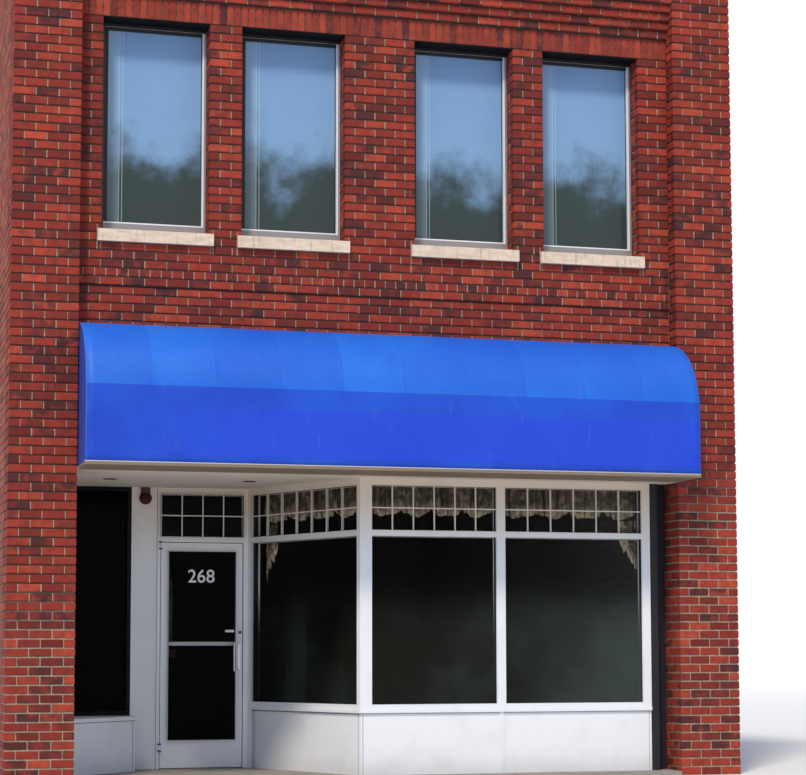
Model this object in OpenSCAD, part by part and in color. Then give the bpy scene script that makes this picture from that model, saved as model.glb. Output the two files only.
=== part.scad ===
// Two-storey brick shop building of a row: two brick piers, an upper wall with four windows,
// a quarter-round awning, and a white storefront with a recessed, splayed entry at its left.
// X runs to the right as seen from the street, Y into the building and Z up.
// The origin lies on the pavement, at the centre of the walls' footprint.

/* [Building] */
// Clear width between the two piers
bay_w = 5755; // [5400:1:6200]
// Width of each brick pier
pier_w = 610; // [500:1:700]
// Depth of the building from pier face to rear wall face
shop_d = 9960; // [8000:1:14000]
// Thickness of each party wall
party_t = 410; // [300:1:480]
// Thickness of the front and rear walls
wall_t = 305; // [290:1:400]
// How far the upper wall stands behind the pier faces
wall_setback = 150; // [100:1:180]
// How far the brickwork over the band line stands out of the strip below it
band_step = 18; // [8:1:30]

/* [Levels] */
// Height of the floor slab over the pavement
slab_h = 40; // [30:1:60]
// Underside of the entry ceiling and of the awning
soffit_z = 2800; // [2650:1:2900]
// Thickness of the ceiling boards
ceiling_t = 25; // [15:1:30]
// Top of the steel beams, which carry the front wall
beam_top_z = 3260; // [3200:1:3350]
// Length of each end of the steel beams in its pier
bearing = 140; // [100:1:200]
// Top of the upper floor
floor_z = 4100; // [3900:1:4200]
// Thickness of the upper floor
floor_t = 300; // [200:1:350]
// Line where the upper brickwork steps out
band_z = 4500; // [4350:1:4650]
// Top of the roof deck
roof_z = 7480; // [7300:1:7600]
// Thickness of the roof deck
roof_t = 200; // [120:1:250]
// Height of the front parapet over the corbelled courses
parapet_h = 750; // [500:1:900]
// How much lower the side and rear parapets are than the front one
parapet_drop = 350; // [200:1:450]
// Height of one brick course
course_h = 81.3; // [70:0.1:90]
// Number of corbelled courses under the front parapet
corbel_courses = 5; // [3:1:6]
// Height of the coping stones
coping_h = 75; // [50:1:100]
// How far the coping stones stand out of the wall
coping_out = 40; // [20:1:60]

/* [Upper windows] */
// Width of each upper window opening
window_w = 985; // [850:1:1050]
// Height of each upper window opening
window_h = 1985; // [1600:1:2100]
// Left edge of the left pair of windows, from the left pier
window_edge = 210; // [150:1:260]
// Left edge of the right pair of windows, from the right pier
pair_x = 2585; // [2450:1:2750]
// Brickwork between the two windows of a pair
window_gap = 305; // [220:1:360]
// Underside of the window sills
sill_z = 4900; // [4800:1:5050]
// Height of the window sills
sill_h = 110; // [70:1:120]
// How far a sill stands out of the wall
sill_out = 40; // [20:1:60]
// How far a sill runs past its opening at each end
sill_ear = 40; // [20:1:70]
// Depth of a window frame behind the wall face
reveal = 200; // [150:1:205]
// Height of the upright bricks over the windows
soldier_h = 203; // [180:1:230]
// Width of the bars of a window frame
sash_w = 36; // [30:1:60]
// Height of the bottom rail of an upper front window
window_rail_h = 115; // [60:1:140]
// Depth of a window frame, front to back
sash_d = 80; // [60:1:95]
// Thickness of the glass
glass_t = 8; // [6:1:12]

/* [Rear wall] */
// Height of the rear upper windows
rear_window_h = 1500; // [1200:1:1800]
// Number of rear upper windows
rear_windows = 3; // [2:1:3]
// Width of the rear door opening
rear_door_w = 960; // [850:1:1050]
// Height of the rear door opening
rear_door_h = 2150; // [2050:1:2300]
// Rear door's distance from the middle of the building
rear_door_x = 1500; // [1000:1:1800]
// Sill height of the rear shop window
rear_sill_z = 1100; // [900:1:1300]
// Width of the rear shop window
shop_window_w = 1500; // [1000:1:1800]
// Height of the rear shop window
shop_window_h = 1200; // [900:1:1400]
// Rear shop window's distance from the middle of the building
shop_window_x = 1200; // [1000:1:1500]

/* [Storefront] */
// How far the storefront stands behind the pier faces
shop_setback = 213; // [180:1:260]
// Depth of the entry behind the storefront line
entry_d = 1622; // [1300:1:1900]
// Left edge of the storefront's corner post, from the left pier
corner_x = 2646; // [2550:1:2750]
// Width of the corner post's front face
corner_w = 113; // [80:1:130]
// Length of the corner post's splayed side
corner_side = 50; // [30:1:80]
// Left edge of the mullion between the two front bays, from the left pier
mullion_x = 3984; // [3800:1:4100]
// Width of that mullion
mullion_w = 84; // [60:1:100]
// Width of the right end post
end_post_w = 82; // [70:1:110]
// Gap between the right end post and the right pier, which the steel post covers
steel_w = 213; // [160:1:240]
// Width of the steel post's front face
steel_face_w = 90; // [60:1:120]
// How far the steel post stands behind the storefront
steel_in = 30; // [15:1:50]
// Depth of the steel post
steel_d = 150; // [110:1:180]
// Depth of the storefront frame, front to back
frame_d = 100; // [80:1:120]
// Distance of the glass behind the frame's face
glass_in = 18; // [10:1:60]
// Underside of the sill board
sill_board_z = 614; // [500:1:700]
// Height of the sill board
sill_board_h = 32; // [20:1:45]
// How far the sill board stands out
sill_board_out = 12; // [8:1:40]
// Top of the bottom rail, where the glass starts
glass_z = 685; // [670:1:760]
// Underside of the transom bar
bar_z = 2262; // [2150:1:2300]
// Height of the transom bar
bar_h = 48; // [40:1:75]
// Height of the head rail under the ceiling
head_h = 63; // [45:1:80]
// How far the panels under the glass stand behind the frame's face
panel_setback = 12; // [5:1:25]

/* [Entry] */
// Width of the black display window at the left
display_w = 738; // [600:1:800]
// Width of the bars of the black display frame
display_bar = 32; // [20:1:45]
// Width of the white panel between the display window and the door
side_panel_w = 246; // [180:1:300]
// Width of the left door jamb
left_jamb_w = 42; // [25:1:60]
// Clear width between the door jambs
door_w = 831; // [800:1:880]
// Width of the right door jamb
right_jamb_w = 46; // [35:1:90]
// Length of the right jamb's splayed side
jamb_side = 48; // [20:1:60]
// Top of the bulkhead below the display window
left_sill_z = 562; // [500:1:650]
// Distance of the left bulkhead's front from the pier face, at the pier
wedge_near = 785; // [650:1:900]
// Distance of the left bulkhead's front from the pier face, at the panel
wedge_far = 1525; // [1300:1:1600]
// Length of the left bulkhead along the entry
wedge_w = 746; // [700:1:780]
// Radius of the downlight cans
can_r = 55; // [40:1:70]

/* [Door] */
// Gap round the door leaf
leaf_gap = 7; // [6:1:10]
// Thickness of the door leaf
leaf_t = 45; // [40:1:50]
// Width of the door's upright stiles
stile_w = 68; // [60:1:95]
// Height of the door's top rail
top_rail_h = 81; // [60:1:110]
// Height of the door's bottom rail
bottom_rail_h = 265; // [180:1:300]
// Distance of the pivot axis in front of the door's face
pivot_out = 18; // [18:1:24]
// Radius of the pivot pins
pin_r = 7; // [5:0.5:9]
// Height of the pivot knuckles on the leaf
knuckle_h = 50; // [40:1:80]
// Height of the lower pivot over the leaf's foot
pivot_foot = 175; // [60:1:220]
// Height of the push bar over the floor
push_bar_z = 1202; // [1000:1:1250]
// Height of the door pull's top over the floor
pull_z = 1231; // [1100:1:1300]
// Length of the door pull
pull_h = 283; // [220:1:340]
// How far the pull's grip stands off the door
pull_out = 55; // [40:1:60]
// How far the grip stands to the side of its plate
pull_side = 58; // [30:1:70]

/* [Awning] */
// Radius of the awning's rounded top
awning_r = 721; // [600:1:800]
// Height of the awning's straight front
awning_front_h = 595; // [450:1:700]
// Thickness of the awning's cover
cover_t = 6; // [4:1:10]
// Side of the square tubes inside the awning
tube = 30; // [20:1:40]
// Number of bows inside the awning
bows = 6; // [4:1:8]

/* [Hidden] */
$fn = 96;
// Clearance of pieces that sit in or against each other
fit = 0.3;
// Lines of the plan
bay_l = -bay_w / 2;
bay_r = bay_w / 2;
half_w = bay_w / 2 + pier_w;
pier_y = -shop_d / 2;
back_y = shop_d / 2;
pier_d = wall_setback + wall_t;
wall_y = pier_y + wall_setback;
strip_y = wall_y + band_step;
shop_y = pier_y + shop_setback;
entry_y = shop_y + entry_d;
room_x = half_w - party_t;
// Levels that follow from the sizes
window_z = sill_z + sill_h;
head_z = window_z + window_h;
corbel_z = head_z + soldier_h;
parapet_z = corbel_z + corbel_courses * course_h;
front_top_z = parapet_z + parapet_h;
side_top_z = front_top_z - parapet_drop;
ceiling_top_z = soffit_z + ceiling_t;
head_rail_z = soffit_z - head_h;
window_left = [
    bay_l + window_edge,
    bay_l + window_edge + window_w + window_gap,
    bay_r - pair_x,
    bay_r - pair_x + window_w + window_gap
];
rear_pitch = 2 * room_x / rear_windows;
sill_d = reveal + sash_d;
// Left edge, sill top, width and height of each rear window
rear_sizes = concat(
    [for (i = [0:rear_windows - 1])
        [-room_x + (i + 0.5) * rear_pitch - window_w / 2, window_z, window_w, rear_window_h]],
    [[-shop_window_x - shop_window_w / 2, rear_sill_z + sill_h, shop_window_w, shop_window_h]]
);
// Places along the storefront
post_l = bay_l + corner_x;
bay_1 = post_l + corner_w;
end_post = bay_r - steel_w - end_post_w;
mullion = bay_l + mullion_x;
display_r = bay_l + display_w;
panel_r = display_r + side_panel_w;
door_l = panel_r + left_jamb_w;
door_r = door_l + door_w;
splay_x = door_r + right_jamb_w;
splay_run = post_l - splay_x;
splay_len = sqrt(splay_run * splay_run + entry_d * entry_d);
splay_turn = -atan2(entry_d, splay_run);
splay_from = jamb_side + fit;
splay_to = splay_len - corner_side - fit;
front_bays = [[bay_1, mullion], [mullion + mullion_w, end_post]];
// Top of the sill board, where posts and glazing rails stand
rail_z = sill_board_z + sill_board_h;
// Fascia board and the steel beams behind it
fascia_t = 24;
beam_rest = 45;
beam_y = strip_y + fascia_t;
beam_z = ceiling_top_z + beam_rest;
// Downlights: distances from the left pier and from the pier faces
lights = [[410, 930], [1730, 900]];
// Door leaf and its pivot axis; the lock side has a little more room for the swing
leaf_back = 5;
lock_gap = leaf_gap + 1;
leaf_l = door_l + leaf_gap;
leaf_w = door_w - leaf_gap - lock_gap;
leaf_z = slab_h + leaf_gap;
leaf_h = bar_z - leaf_gap - leaf_z;
leaf_y = entry_y + leaf_back;
pane_w = leaf_w - 2 * stile_w;
pane_h = leaf_h - top_rail_h - bottom_rail_h;
pivot_y = leaf_y - pivot_out;
knuckle_t = 5;
knuckle_r = pin_r + knuckle_t;
knuckle_top = 2;
knuckle_z = [leaf_z + pivot_foot, leaf_z + leaf_h - knuckle_top - knuckle_h];
bracket_h = 14;
bracket_gap = 1;
// Rear door frame
rear_jamb = 50;
rear_frame_y = back_y - reveal - sash_d;
// Awning
awning_z = ceiling_top_z;
spring_z = awning_z + awning_front_h;
awning_y = strip_y - awning_r;
awning_gap = 2;

// A block from its lowest corner to its highest
module block(lo, hi) {
    translate(lo) cube(hi - lo);
}

// Local frame of the splayed window: X towards the street, Y into the shop
module on_splay() {
    translate([splay_x, entry_y, 0]) rotate([0, 0, splay_turn]) children();
}

// A point of the splayed window's frame in the building's plan
function splay_point(along, in) = [
    splay_x + along * cos(splay_turn) - in * sin(splay_turn),
    entry_y + along * sin(splay_turn) + in * cos(splay_turn)
];

// A rectangular frame: outer size, width of its bars, its depth and its bottom bar's height
module ring(w, h, bar, d, foot) {
    difference() {
        cube([w, d, h]);
        translate([bar, -1, foot]) cube([w - 2 * bar, d + 2, h - bar - foot]);
    }
}

// Corner of the front and the splayed window in plan, at a distance behind both faces
function corner_point(in) = [
    post_l + in * (1 - cos(splay_turn)) / -sin(splay_turn),
    shop_y + in
];

// Brickwork

// A pier, with a pocket for the ends of the steel beams
module pier(side) {
    pocket = bearing + 10;
    x0 = side < 0 ? -half_w : bay_r;
    pocket_x = side < 0 ? bay_l - pocket : bay_r - 1;
    color("firebrick") difference() {
        block([x0, pier_y, 0], [x0 + pier_w, pier_y + pier_d, front_top_z]);
        block([pocket_x, beam_y, beam_z],
              [pocket_x + pocket + 1, pier_y + pier_d + 1, beam_top_z]);
    }
}

module left_pier() {
    pier(-1);
}

module right_pier() {
    pier(1);
}

module party_wall(side) {
    x0 = side < 0 ? -half_w : half_w - party_t;
    color("indianred")
        block([x0, pier_y + pier_d, 0], [x0 + party_t, back_y, side_top_z]);
}

module left_party_wall() {
    party_wall(-1);
}

module right_party_wall() {
    party_wall(1);
}

// The upper front wall stands on the beams; the strip behind the awning is set back a little
module front_wall() {
    color("firebrick") difference() {
        union() {
            block([bay_l, wall_y, band_z], [bay_r, wall_y + wall_t, corbel_z]);
            block([bay_l, strip_y, beam_top_z], [bay_r, wall_y + wall_t, band_z]);
        }
        for (x = window_left) {
            block([x, wall_y - 1, window_z], [x + window_w, wall_y + wall_t + 1, head_z]);
            block([x - sill_ear, wall_y - 1, sill_z],
                  [x + window_w + sill_ear, wall_y + sill_d, window_z]);
        }
    }
}

// Corbelled courses bring the parapet out flush with the piers
module parapet() {
    step = wall_setback / corbel_courses;
    stairs = [for (i = [1:corbel_courses], up = [0, 1])
        [wall_y - i * step, corbel_z + (i - 1 + up) * course_h]];
    outline = concat(stairs, [
        [pier_y, front_top_z], [pier_y + pier_d, front_top_z], [pier_y + pier_d, corbel_z]
    ]);
    color("firebrick") translate([bay_l, 0, 0])
        rotate([90, 0, 90]) linear_extrude(bay_w) polygon(outline);
}

// Coping stones of the front parapet, and lower ones round the sides and back
module parapet_copings() {
    inner_x = room_x - coping_out;
    color("tan") {
        block([-half_w, pier_y - coping_out, front_top_z],
              [half_w, pier_y + pier_d + coping_out, front_top_z + coping_h]);
        difference() {
            block([-half_w, pier_y + pier_d, side_top_z],
                  [half_w, back_y + coping_out, side_top_z + coping_h]);
            block([-inner_x, pier_y + pier_d - 1, side_top_z - 1],
                  [inner_x, back_y - wall_t - coping_out, side_top_z + coping_h + 1]);
        }
    }
}

// Stone sills let into the brickwork
module window_sills() {
    color("wheat") {
        for (x = window_left)
            block([x - sill_ear, wall_y - sill_out, sill_z],
                  [x + window_w + sill_ear, wall_y + sill_d, window_z]);
        for (s = rear_sizes)
            block([s[0], back_y - sill_d, s[1] - sill_h], [s[0] + s[2], back_y + sill_out, s[1]]);
    }
}

// Window openings of the rear wall, each with a slot for its sill
module rear_openings() {
    for (s = rear_sizes) {
        block([s[0], back_y - wall_t - 1, s[1]], [s[0] + s[2], back_y + 1, s[1] + s[3]]);
        block([s[0], back_y - sill_d, s[1] - sill_h], [s[0] + s[2], back_y + 1, s[1] + 1]);
    }
}

module rear_lower_wall() {
    color("indianred") difference() {
        block([-room_x, back_y - wall_t, 0], [room_x, back_y, floor_z]);
        block([rear_door_x - rear_door_w / 2, back_y - wall_t - 1, slab_h],
              [rear_door_x + rear_door_w / 2, back_y + 1, slab_h + rear_door_h]);
        rear_openings();
    }
}

module rear_upper_wall() {
    color("indianred") difference() {
        block([-room_x, back_y - wall_t, floor_z], [room_x, back_y, side_top_z]);
        rear_openings();
    }
}

// Floors and roof

module floor_slab() {
    color("darkgray") union() {
        block([bay_l, pier_y, 0], [bay_r, pier_y + pier_d, slab_h]);
        block([-room_x, pier_y + pier_d, 0], [room_x, back_y - wall_t, slab_h]);
    }
}

module upper_floor() {
    color("burlywood") block([-room_x, wall_y + wall_t, floor_z - floor_t],
                             [room_x, back_y - wall_t, floor_z]);
}

module roof_deck() {
    color("dimgray") block([-room_x, wall_y + wall_t, roof_z - roof_t],
                           [room_x, back_y - wall_t, roof_z]);
}

// Storefront

// Two steel beams side by side, with their ends in the piers
module storefront_beams() {
    flange_t = 18;
    web_t = 12;
    between = 4;
    beam_h = beam_top_z - beam_z;
    flange_w = (wall_y + wall_t - beam_y - between) / 2;
    color("slategray") for (i = [0, 1])
        translate([bay_l - bearing, beam_y + i * (flange_w + between), beam_z])
            rotate([90, 0, 90]) linear_extrude(bay_w + 2 * bearing) union() {
                square([flange_w, flange_t]);
                translate([0, beam_h - flange_t]) square([flange_w, flange_t]);
                translate([(flange_w - web_t) / 2, 0]) square([web_t, beam_h]);
            }
}

module fascia_board() {
    color("ivory") block([bay_l, strip_y, ceiling_top_z], [bay_r, beam_y, beam_top_z]);
}

// Ceiling over the entry and along the storefront, with holes for the downlights
module entry_ceiling() {
    outline = [
        [bay_l, pier_y], [bay_r, pier_y], [bay_r, shop_y + frame_d], [bay_1, shop_y + frame_d],
        splay_point(splay_len, frame_d), splay_point(0, frame_d),
        [splay_x, entry_y + frame_d], [bay_l, entry_y + frame_d]
    ];
    color("beige") difference() {
        translate([0, 0, soffit_z]) linear_extrude(ceiling_t) polygon(outline);
        for (p = lights) translate([bay_l + p[0], pier_y + p[1], soffit_z - 1])
            cylinder(r = can_r + fit, h = ceiling_t + 2);
    }
}

module downlights() {
    rim_w = 14;
    rim_t = 4;
    can_h = 90;
    wall = 4;
    color("silver") for (p = lights)
        translate([bay_l + p[0], pier_y + p[1], soffit_z - rim_t]) difference() {
            union() {
                cylinder(r = can_r + rim_w, h = rim_t);
                cylinder(r = can_r, h = can_h);
            }
            translate([0, 0, -1]) cylinder(r = can_r - wall, h = can_h - wall);
        }
}

// Painted wall from the left pier back to the display window
module entry_side_wall() {
    side_wall_t = 90;
    color("white") block([bay_l - side_wall_t, pier_y + pier_d, slab_h],
                         [bay_l, entry_y + frame_d, soffit_z]);
}

// Steel post that closes the gap beside the right pier
module steel_post() {
    plate_t = 25;
    x0 = bay_r - steel_w;
    x1 = x0 + steel_face_w;
    y0 = shop_y + steel_in;
    y1 = y0 + steel_d;
    color("midnightblue") translate([0, 0, slab_h]) linear_extrude(soffit_z - slab_h)
        polygon([
            [x0, y0], [x1, y0], [x1, y1 - plate_t], [bay_r, y1 - plate_t], [bay_r, y1], [x0, y1]
        ]);
}

// Corner post, mullion and right end post
module storefront_posts() {
    h = soffit_z - rail_z;
    color("white") translate([0, 0, rail_z]) {
        linear_extrude(h) polygon([
            [post_l, shop_y], [bay_1, shop_y], [bay_1, shop_y + frame_d],
            splay_point(splay_len - corner_side, frame_d),
            splay_point(splay_len - corner_side, 0)
        ]);
        translate([mullion, shop_y, 0]) cube([mullion_w, frame_d, h]);
        translate([end_post, shop_y, 0]) cube([end_post_w, frame_d, h]);
    }
}

// Bottom rail, transom bar and head rail of a bay
module rails(w) {
    for (r = [[rail_z, glass_z - rail_z], [bar_z, bar_h], [head_rail_z, head_h - fit]])
        translate([0, 0, r[0]]) cube([w, frame_d, r[1]]);
}

module storefront_rails() {
    color("white") for (b = front_bays)
        translate([b[0], shop_y, 0]) rails(b[1] - b[0]);
}

module angled_rails() {
    color("white") on_splay() translate([splay_from, 0, 0]) rails(splay_to - splay_from);
}

// Main pane and the row of small panes above the transom bar
module panes(w) {
    translate([0, glass_in, glass_z]) cube([w, glass_t, bar_z - glass_z]);
    translate([0, glass_in, bar_z + bar_h]) cube([w, glass_t, head_rail_z - bar_z - bar_h]);
}

// Glass of the front bays, of the splayed window and over the door
module storefront_glass() {
    color("lightblue", 0.35) {
        for (b = front_bays) translate([b[0], shop_y, 0]) panes(b[1] - b[0]);
        on_splay() translate([splay_from, 0, 0]) panes(splay_to - splay_from);
        block([door_l, entry_y + glass_in, bar_z + bar_h],
              [door_r, entry_y + glass_in + glass_t, head_rail_z]);
    }
}

// Base of a window and the sill board on it, from their outlines in plan
module base_and_board(base, board) {
    translate([0, 0, slab_h]) linear_extrude(sill_board_z - slab_h) polygon(base);
    translate([0, 0, sill_board_z]) linear_extrude(sill_board_h) polygon(board);
}

// Plans of the front and the splayed base, with their face at a distance behind the frame's.
// They meet in a mitre at the corner, with a hair's gap.
function front_plan(in) = [
    corner_point(in), [bay_r - steel_w, shop_y + in], [bay_r - steel_w, shop_y + frame_d],
    corner_point(frame_d)
];

function splay_end(in) = corner_point(in) - fit * [cos(splay_turn), sin(splay_turn)];

function splay_plan(in) = [
    splay_point(splay_from, in), splay_end(in), splay_end(frame_d), splay_point(splay_from, frame_d)
];

// Panelled base under the front glass; a batten covers the joint of its panels
module front_bulkhead() {
    batten_w = 46;
    batten_t = 8;
    color("white") union() {
        base_and_board(front_plan(panel_setback), front_plan(-sill_board_out));
        translate([mullion + (mullion_w - batten_w) / 2, shop_y + panel_setback - batten_t, slab_h])
            cube([batten_w, batten_t + 1, sill_board_z - slab_h]);
    }
}

module angled_bulkhead() {
    color("white") union()
        base_and_board(splay_plan(panel_setback), splay_plan(-sill_board_out));
}

// Base of the display window: its front runs at an angle from the pier to the panel
module left_bulkhead() {
    face = [
        [bay_l, pier_y + wedge_near], [bay_l + wedge_w, pier_y + wedge_far],
        [bay_l + wedge_w, entry_y], [bay_l, entry_y]
    ];
    board_end = bay_l + wedge_w + 15;
    board = [
        [bay_l, pier_y + wedge_near - sill_board_out],
        [board_end, pier_y + wedge_far - sill_board_out], [board_end, entry_y], [bay_l, entry_y]
    ];
    board_z = left_sill_z - sill_board_h;
    color("white") union() {
        translate([0, 0, slab_h]) linear_extrude(board_z - slab_h) polygon(face);
        translate([0, 0, board_z]) linear_extrude(sill_board_h) polygon(board);
    }
}

module display_frame() {
    color("black") translate([bay_l, entry_y, left_sill_z])
        ring(display_w, soffit_z - left_sill_z, display_bar, frame_d, display_bar);
}

module display_glass() {
    color("dimgray", 0.5)
        translate([bay_l + display_bar, entry_y + glass_in, left_sill_z + display_bar])
        cube([display_w - 2 * display_bar, glass_t, soffit_z - left_sill_z - 2 * display_bar]);
}

// White panel, and the low wall that carries the display window
module side_panel() {
    color("white") union() {
        block([display_r, entry_y, slab_h], [panel_r, entry_y + frame_d, soffit_z]);
        block([bay_l, entry_y, slab_h], [panel_r, entry_y + frame_d, left_sill_z]);
    }
}

// Door

// Jambs, the bar over the leaf and the head over the small panes
module door_frame() {
    left_plan = [
        [panel_r, entry_y], [door_l, entry_y], [door_l, entry_y + frame_d],
        [panel_r, entry_y + frame_d]
    ];
    right_plan = [
        [door_r, entry_y], [splay_x, entry_y], splay_point(jamb_side, 0),
        splay_point(jamb_side, frame_d), [door_r, entry_y + frame_d]
    ];
    color("white") union() {
        for (plan = [left_plan, right_plan])
            translate([0, 0, slab_h]) linear_extrude(soffit_z - slab_h) polygon(plan);
        for (r = [[bar_z, bar_h], [head_rail_z, head_h]])
            block([door_l - 1, entry_y, r[0]], [door_r + 1, entry_y + frame_d, r[0] + r[1]]);
    }
}

module door_leaf() {
    color("white") difference() {
        union() {
            difference() {
                translate([leaf_l, leaf_y, leaf_z]) cube([leaf_w, leaf_t, leaf_h]);
                translate([leaf_l + stile_w, leaf_y - 1, leaf_z + bottom_rail_h])
                    cube([pane_w, leaf_t + 2, pane_h]);
            }
            for (z = knuckle_z) translate([leaf_l, pivot_y, z]) {
                cylinder(r = knuckle_r, h = knuckle_h);
                cube([knuckle_r, pivot_out + 1, knuckle_h]);
            }
        }
        for (z = knuckle_z) translate([leaf_l, pivot_y, z - 1])
            cylinder(r = pin_r + fit, h = knuckle_h + 2);
    }
}

// Brackets on the left jamb, above and below each knuckle, with the pin between them
module door_pivots() {
    color("silver") for (z = knuckle_z) translate([leaf_l, pivot_y, z]) union() {
        translate([0, 0, -bracket_h]) cylinder(r = pin_r, h = knuckle_h + 2 * bracket_h);
        for (b = [-bracket_h - bracket_gap, knuckle_h + bracket_gap]) translate([0, 0, b]) {
            cylinder(r = knuckle_r, h = bracket_h);
            translate([-2 * knuckle_r, 0, 0])
                cube([2 * knuckle_r, entry_y - pivot_y, bracket_h]);
        }
    }
}

module door_glass() {
    color("lightblue", 0.35)
        translate([leaf_l + stile_w, leaf_y + (leaf_t - glass_t) / 2, leaf_z + bottom_rail_h])
        cube([pane_w, glass_t, pane_h]);
}

// Offset pull: a plate on the right stile, and two arms that turn sideways to the upright grip
module door_pull() {
    grip_r = 10;
    arm_r = 7;
    arm_in = 9;
    plate_w = 18;
    plate_t = 5;
    from_edge = 31;
    z0 = slab_h + pull_z - pull_h;
    color("gainsboro") translate([leaf_l + leaf_w - from_edge, leaf_y, z0]) union() {
        translate([-plate_w / 2, -plate_t, 0]) cube([plate_w, plate_t, pull_h]);
        translate([-pull_side, -pull_out, 0]) cylinder(r = grip_r, h = pull_h);
        for (z = [arm_in, pull_h - arm_in]) {
            translate([0, 0, z]) rotate([90, 0, 0]) cylinder(r = arm_r, h = pull_out + arm_r);
            translate([arm_r, -pull_out, z]) rotate([0, -90, 0])
                cylinder(r = arm_r, h = pull_side + arm_r);
        }
    }
}

// Bar across the inside of the door
module push_bar() {
    out = 45;
    bar_t = 12;
    deep = 37;
    x0 = leaf_l + stile_w / 2;
    x1 = leaf_l + leaf_w - stile_w / 2;
    y = leaf_y + leaf_t;
    color("gainsboro") translate([0, 0, slab_h + push_bar_z]) union() {
        block([x0, y + out, 0], [x1, y + out + bar_t, deep]);
        block([x0, y, 0], [x0 + bar_t, y + out + bar_t, deep]);
        block([x1 - bar_t, y, 0], [x1, y + out + bar_t, deep]);
    }
}

// Round bell on its back box, on the white panel
module alarm_bell() {
    bell_r = 60;
    from_edge = 133;
    below_ceiling = 111;
    box = [88, 38, 62];
    box_z = 44;
    profile = [
        [0, 0], [bell_r - 8, 0], [bell_r - 8, 12], [bell_r, 12], [bell_r, 34],
        [bell_r - 12, 46], [14, 52], [10, 58], [0, 58]
    ];
    color("red") translate([display_r + from_edge, entry_y, soffit_z - below_ceiling]) union() {
        rotate([90, 0, 0]) rotate_extrude() polygon(profile);
        translate([-box[0] / 2, -box[1], box_z]) cube(box);
    }
}

// Curtain valances behind the small panes, with a tail at each outer end
module window_valances() {
    valance_t = 50;
    drop = 360;
    edge = 6;
    tail_w = 190;
    tail_h = 460;
    splay_edge = 110;
    splay_tail_h = 560;
    y = frame_d + fit;
    z = soffit_z - drop;
    color("palegoldenrod") {
        for (b = front_bays) translate([b[0] + edge, shop_y + y, z])
            cube([b[1] - b[0] - 2 * edge, valance_t, drop]);
        translate([end_post - edge - tail_w, shop_y + y, z - fit - tail_h])
            cube([tail_w, valance_t, tail_h]);
        on_splay() translate([splay_edge, y, z]) {
            cube([splay_to - 2 * splay_edge, valance_t, drop]);
            translate([0, 0, -fit - splay_tail_h]) cube([tail_w, valance_t, splay_tail_h]);
        }
    }
}

// Awning

// Side outline of the awning, drawn inwards by a margin: Y across and Z up
module awning_outline(margin) {
    intersection() {
        union() {
            translate([strip_y, spring_z]) circle(r = awning_r - margin, $fn = 128);
            translate([awning_y + margin, awning_z - 1])
                square([awning_r - margin, spring_z - awning_z + 1]);
        }
        translate([awning_y, awning_z]) square([awning_r, spring_z - awning_z + awning_r]);
    }
}

// Cover with closed ends, open at the wall and below
module awning_cover() {
    cover_w = bay_w - 2 * awning_gap;
    color("royalblue") translate([bay_l + awning_gap, 0, 0]) rotate([90, 0, 90]) union() {
        linear_extrude(cover_w) difference() {
            awning_outline(0);
            awning_outline(cover_t);
        }
        for (x = [0, cover_w - cover_t])
            translate([0, 0, x]) linear_extrude(cover_t) awning_outline(0);
    }
}

// Bows and long bars under the cover
module awning_frame() {
    inset = cover_t + fit;
    end = awning_gap + inset;
    pitch = (bay_w - 2 * end - tube) / (bows - 1);
    front = awning_y + inset;
    top = spring_z + awning_r - inset - tube - 2;
    bars = [
        [front, awning_z], [strip_y - tube, awning_z], [front, spring_z - tube],
        [strip_y - tube, top]
    ];
    color("silver") union() {
        for (i = [0:bows - 1])
            translate([bay_l + end + i * pitch, 0, 0]) rotate([90, 0, 90])
                linear_extrude(tube) union() {
                    difference() {
                        awning_outline(inset);
                        awning_outline(inset + tube);
                    }
                    translate([front, awning_z]) square([strip_y - front, tube]);
                }
        for (p = bars)
            block([bay_l + end, p[0], p[1]], [bay_r - end, p[0] + tube, p[1] + tube]);
    }
}

module awning_soffit() {
    color("tan") block([bay_l + awning_gap, awning_y, soffit_z],
                       [bay_r - awning_gap, pier_y, awning_z]);
}

// Windows

module upper_window_frames() {
    color("white") for (x = window_left)
        translate([x, wall_y + reveal, window_z])
            ring(window_w, window_h, sash_w, sash_d, window_rail_h);
}

module rear_window_frames() {
    color("white") for (s = rear_sizes)
        translate([s[0], rear_frame_y, s[1]]) ring(s[2], s[3], sash_w, sash_d, sash_w);
}

// Glass inside a window frame whose lower left front corner is at the origin and whose bottom
// bar has the height of foot
module pane(w, h, foot) {
    translate([sash_w, (sash_d - glass_t) / 2, foot])
        cube([w - 2 * sash_w, glass_t, h - sash_w - foot]);
}

module window_glass() {
    color("lightblue", 0.35) {
        for (x = window_left)
            translate([x, wall_y + reveal, window_z]) pane(window_w, window_h, window_rail_h);
        for (s = rear_sizes) translate([s[0], rear_frame_y, s[1]]) pane(s[2], s[3], sash_w);
    }
}

module rear_door_frame() {
    color("white") translate([rear_door_x - rear_door_w / 2, rear_frame_y, slab_h]) difference() {
        cube([rear_door_w, sash_d, rear_door_h]);
        translate([rear_jamb, -1, -1])
            cube([rear_door_w - 2 * rear_jamb, sash_d + 2, rear_door_h - rear_jamb + 1]);
    }
}

// Plain door with two sunk panels on its outside
module rear_door() {
    door_t = 45;
    panel_in = 110;
    panel_d = 8;
    rail = 180;
    w = rear_door_w - 2 * rear_jamb;
    h = rear_door_h - rear_jamb;
    panel_h = (h - 3 * rail) / 2;
    color("lightslategray")
        translate([rear_door_x - w / 2, rear_frame_y + (sash_d - door_t) / 2, slab_h])
        difference() {
            cube([w, door_t, h]);
            for (z = [rail, 2 * rail + panel_h])
                translate([panel_in, door_t - panel_d, z])
                    cube([w - 2 * panel_in, panel_d + 1, panel_h]);
        }
}

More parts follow.
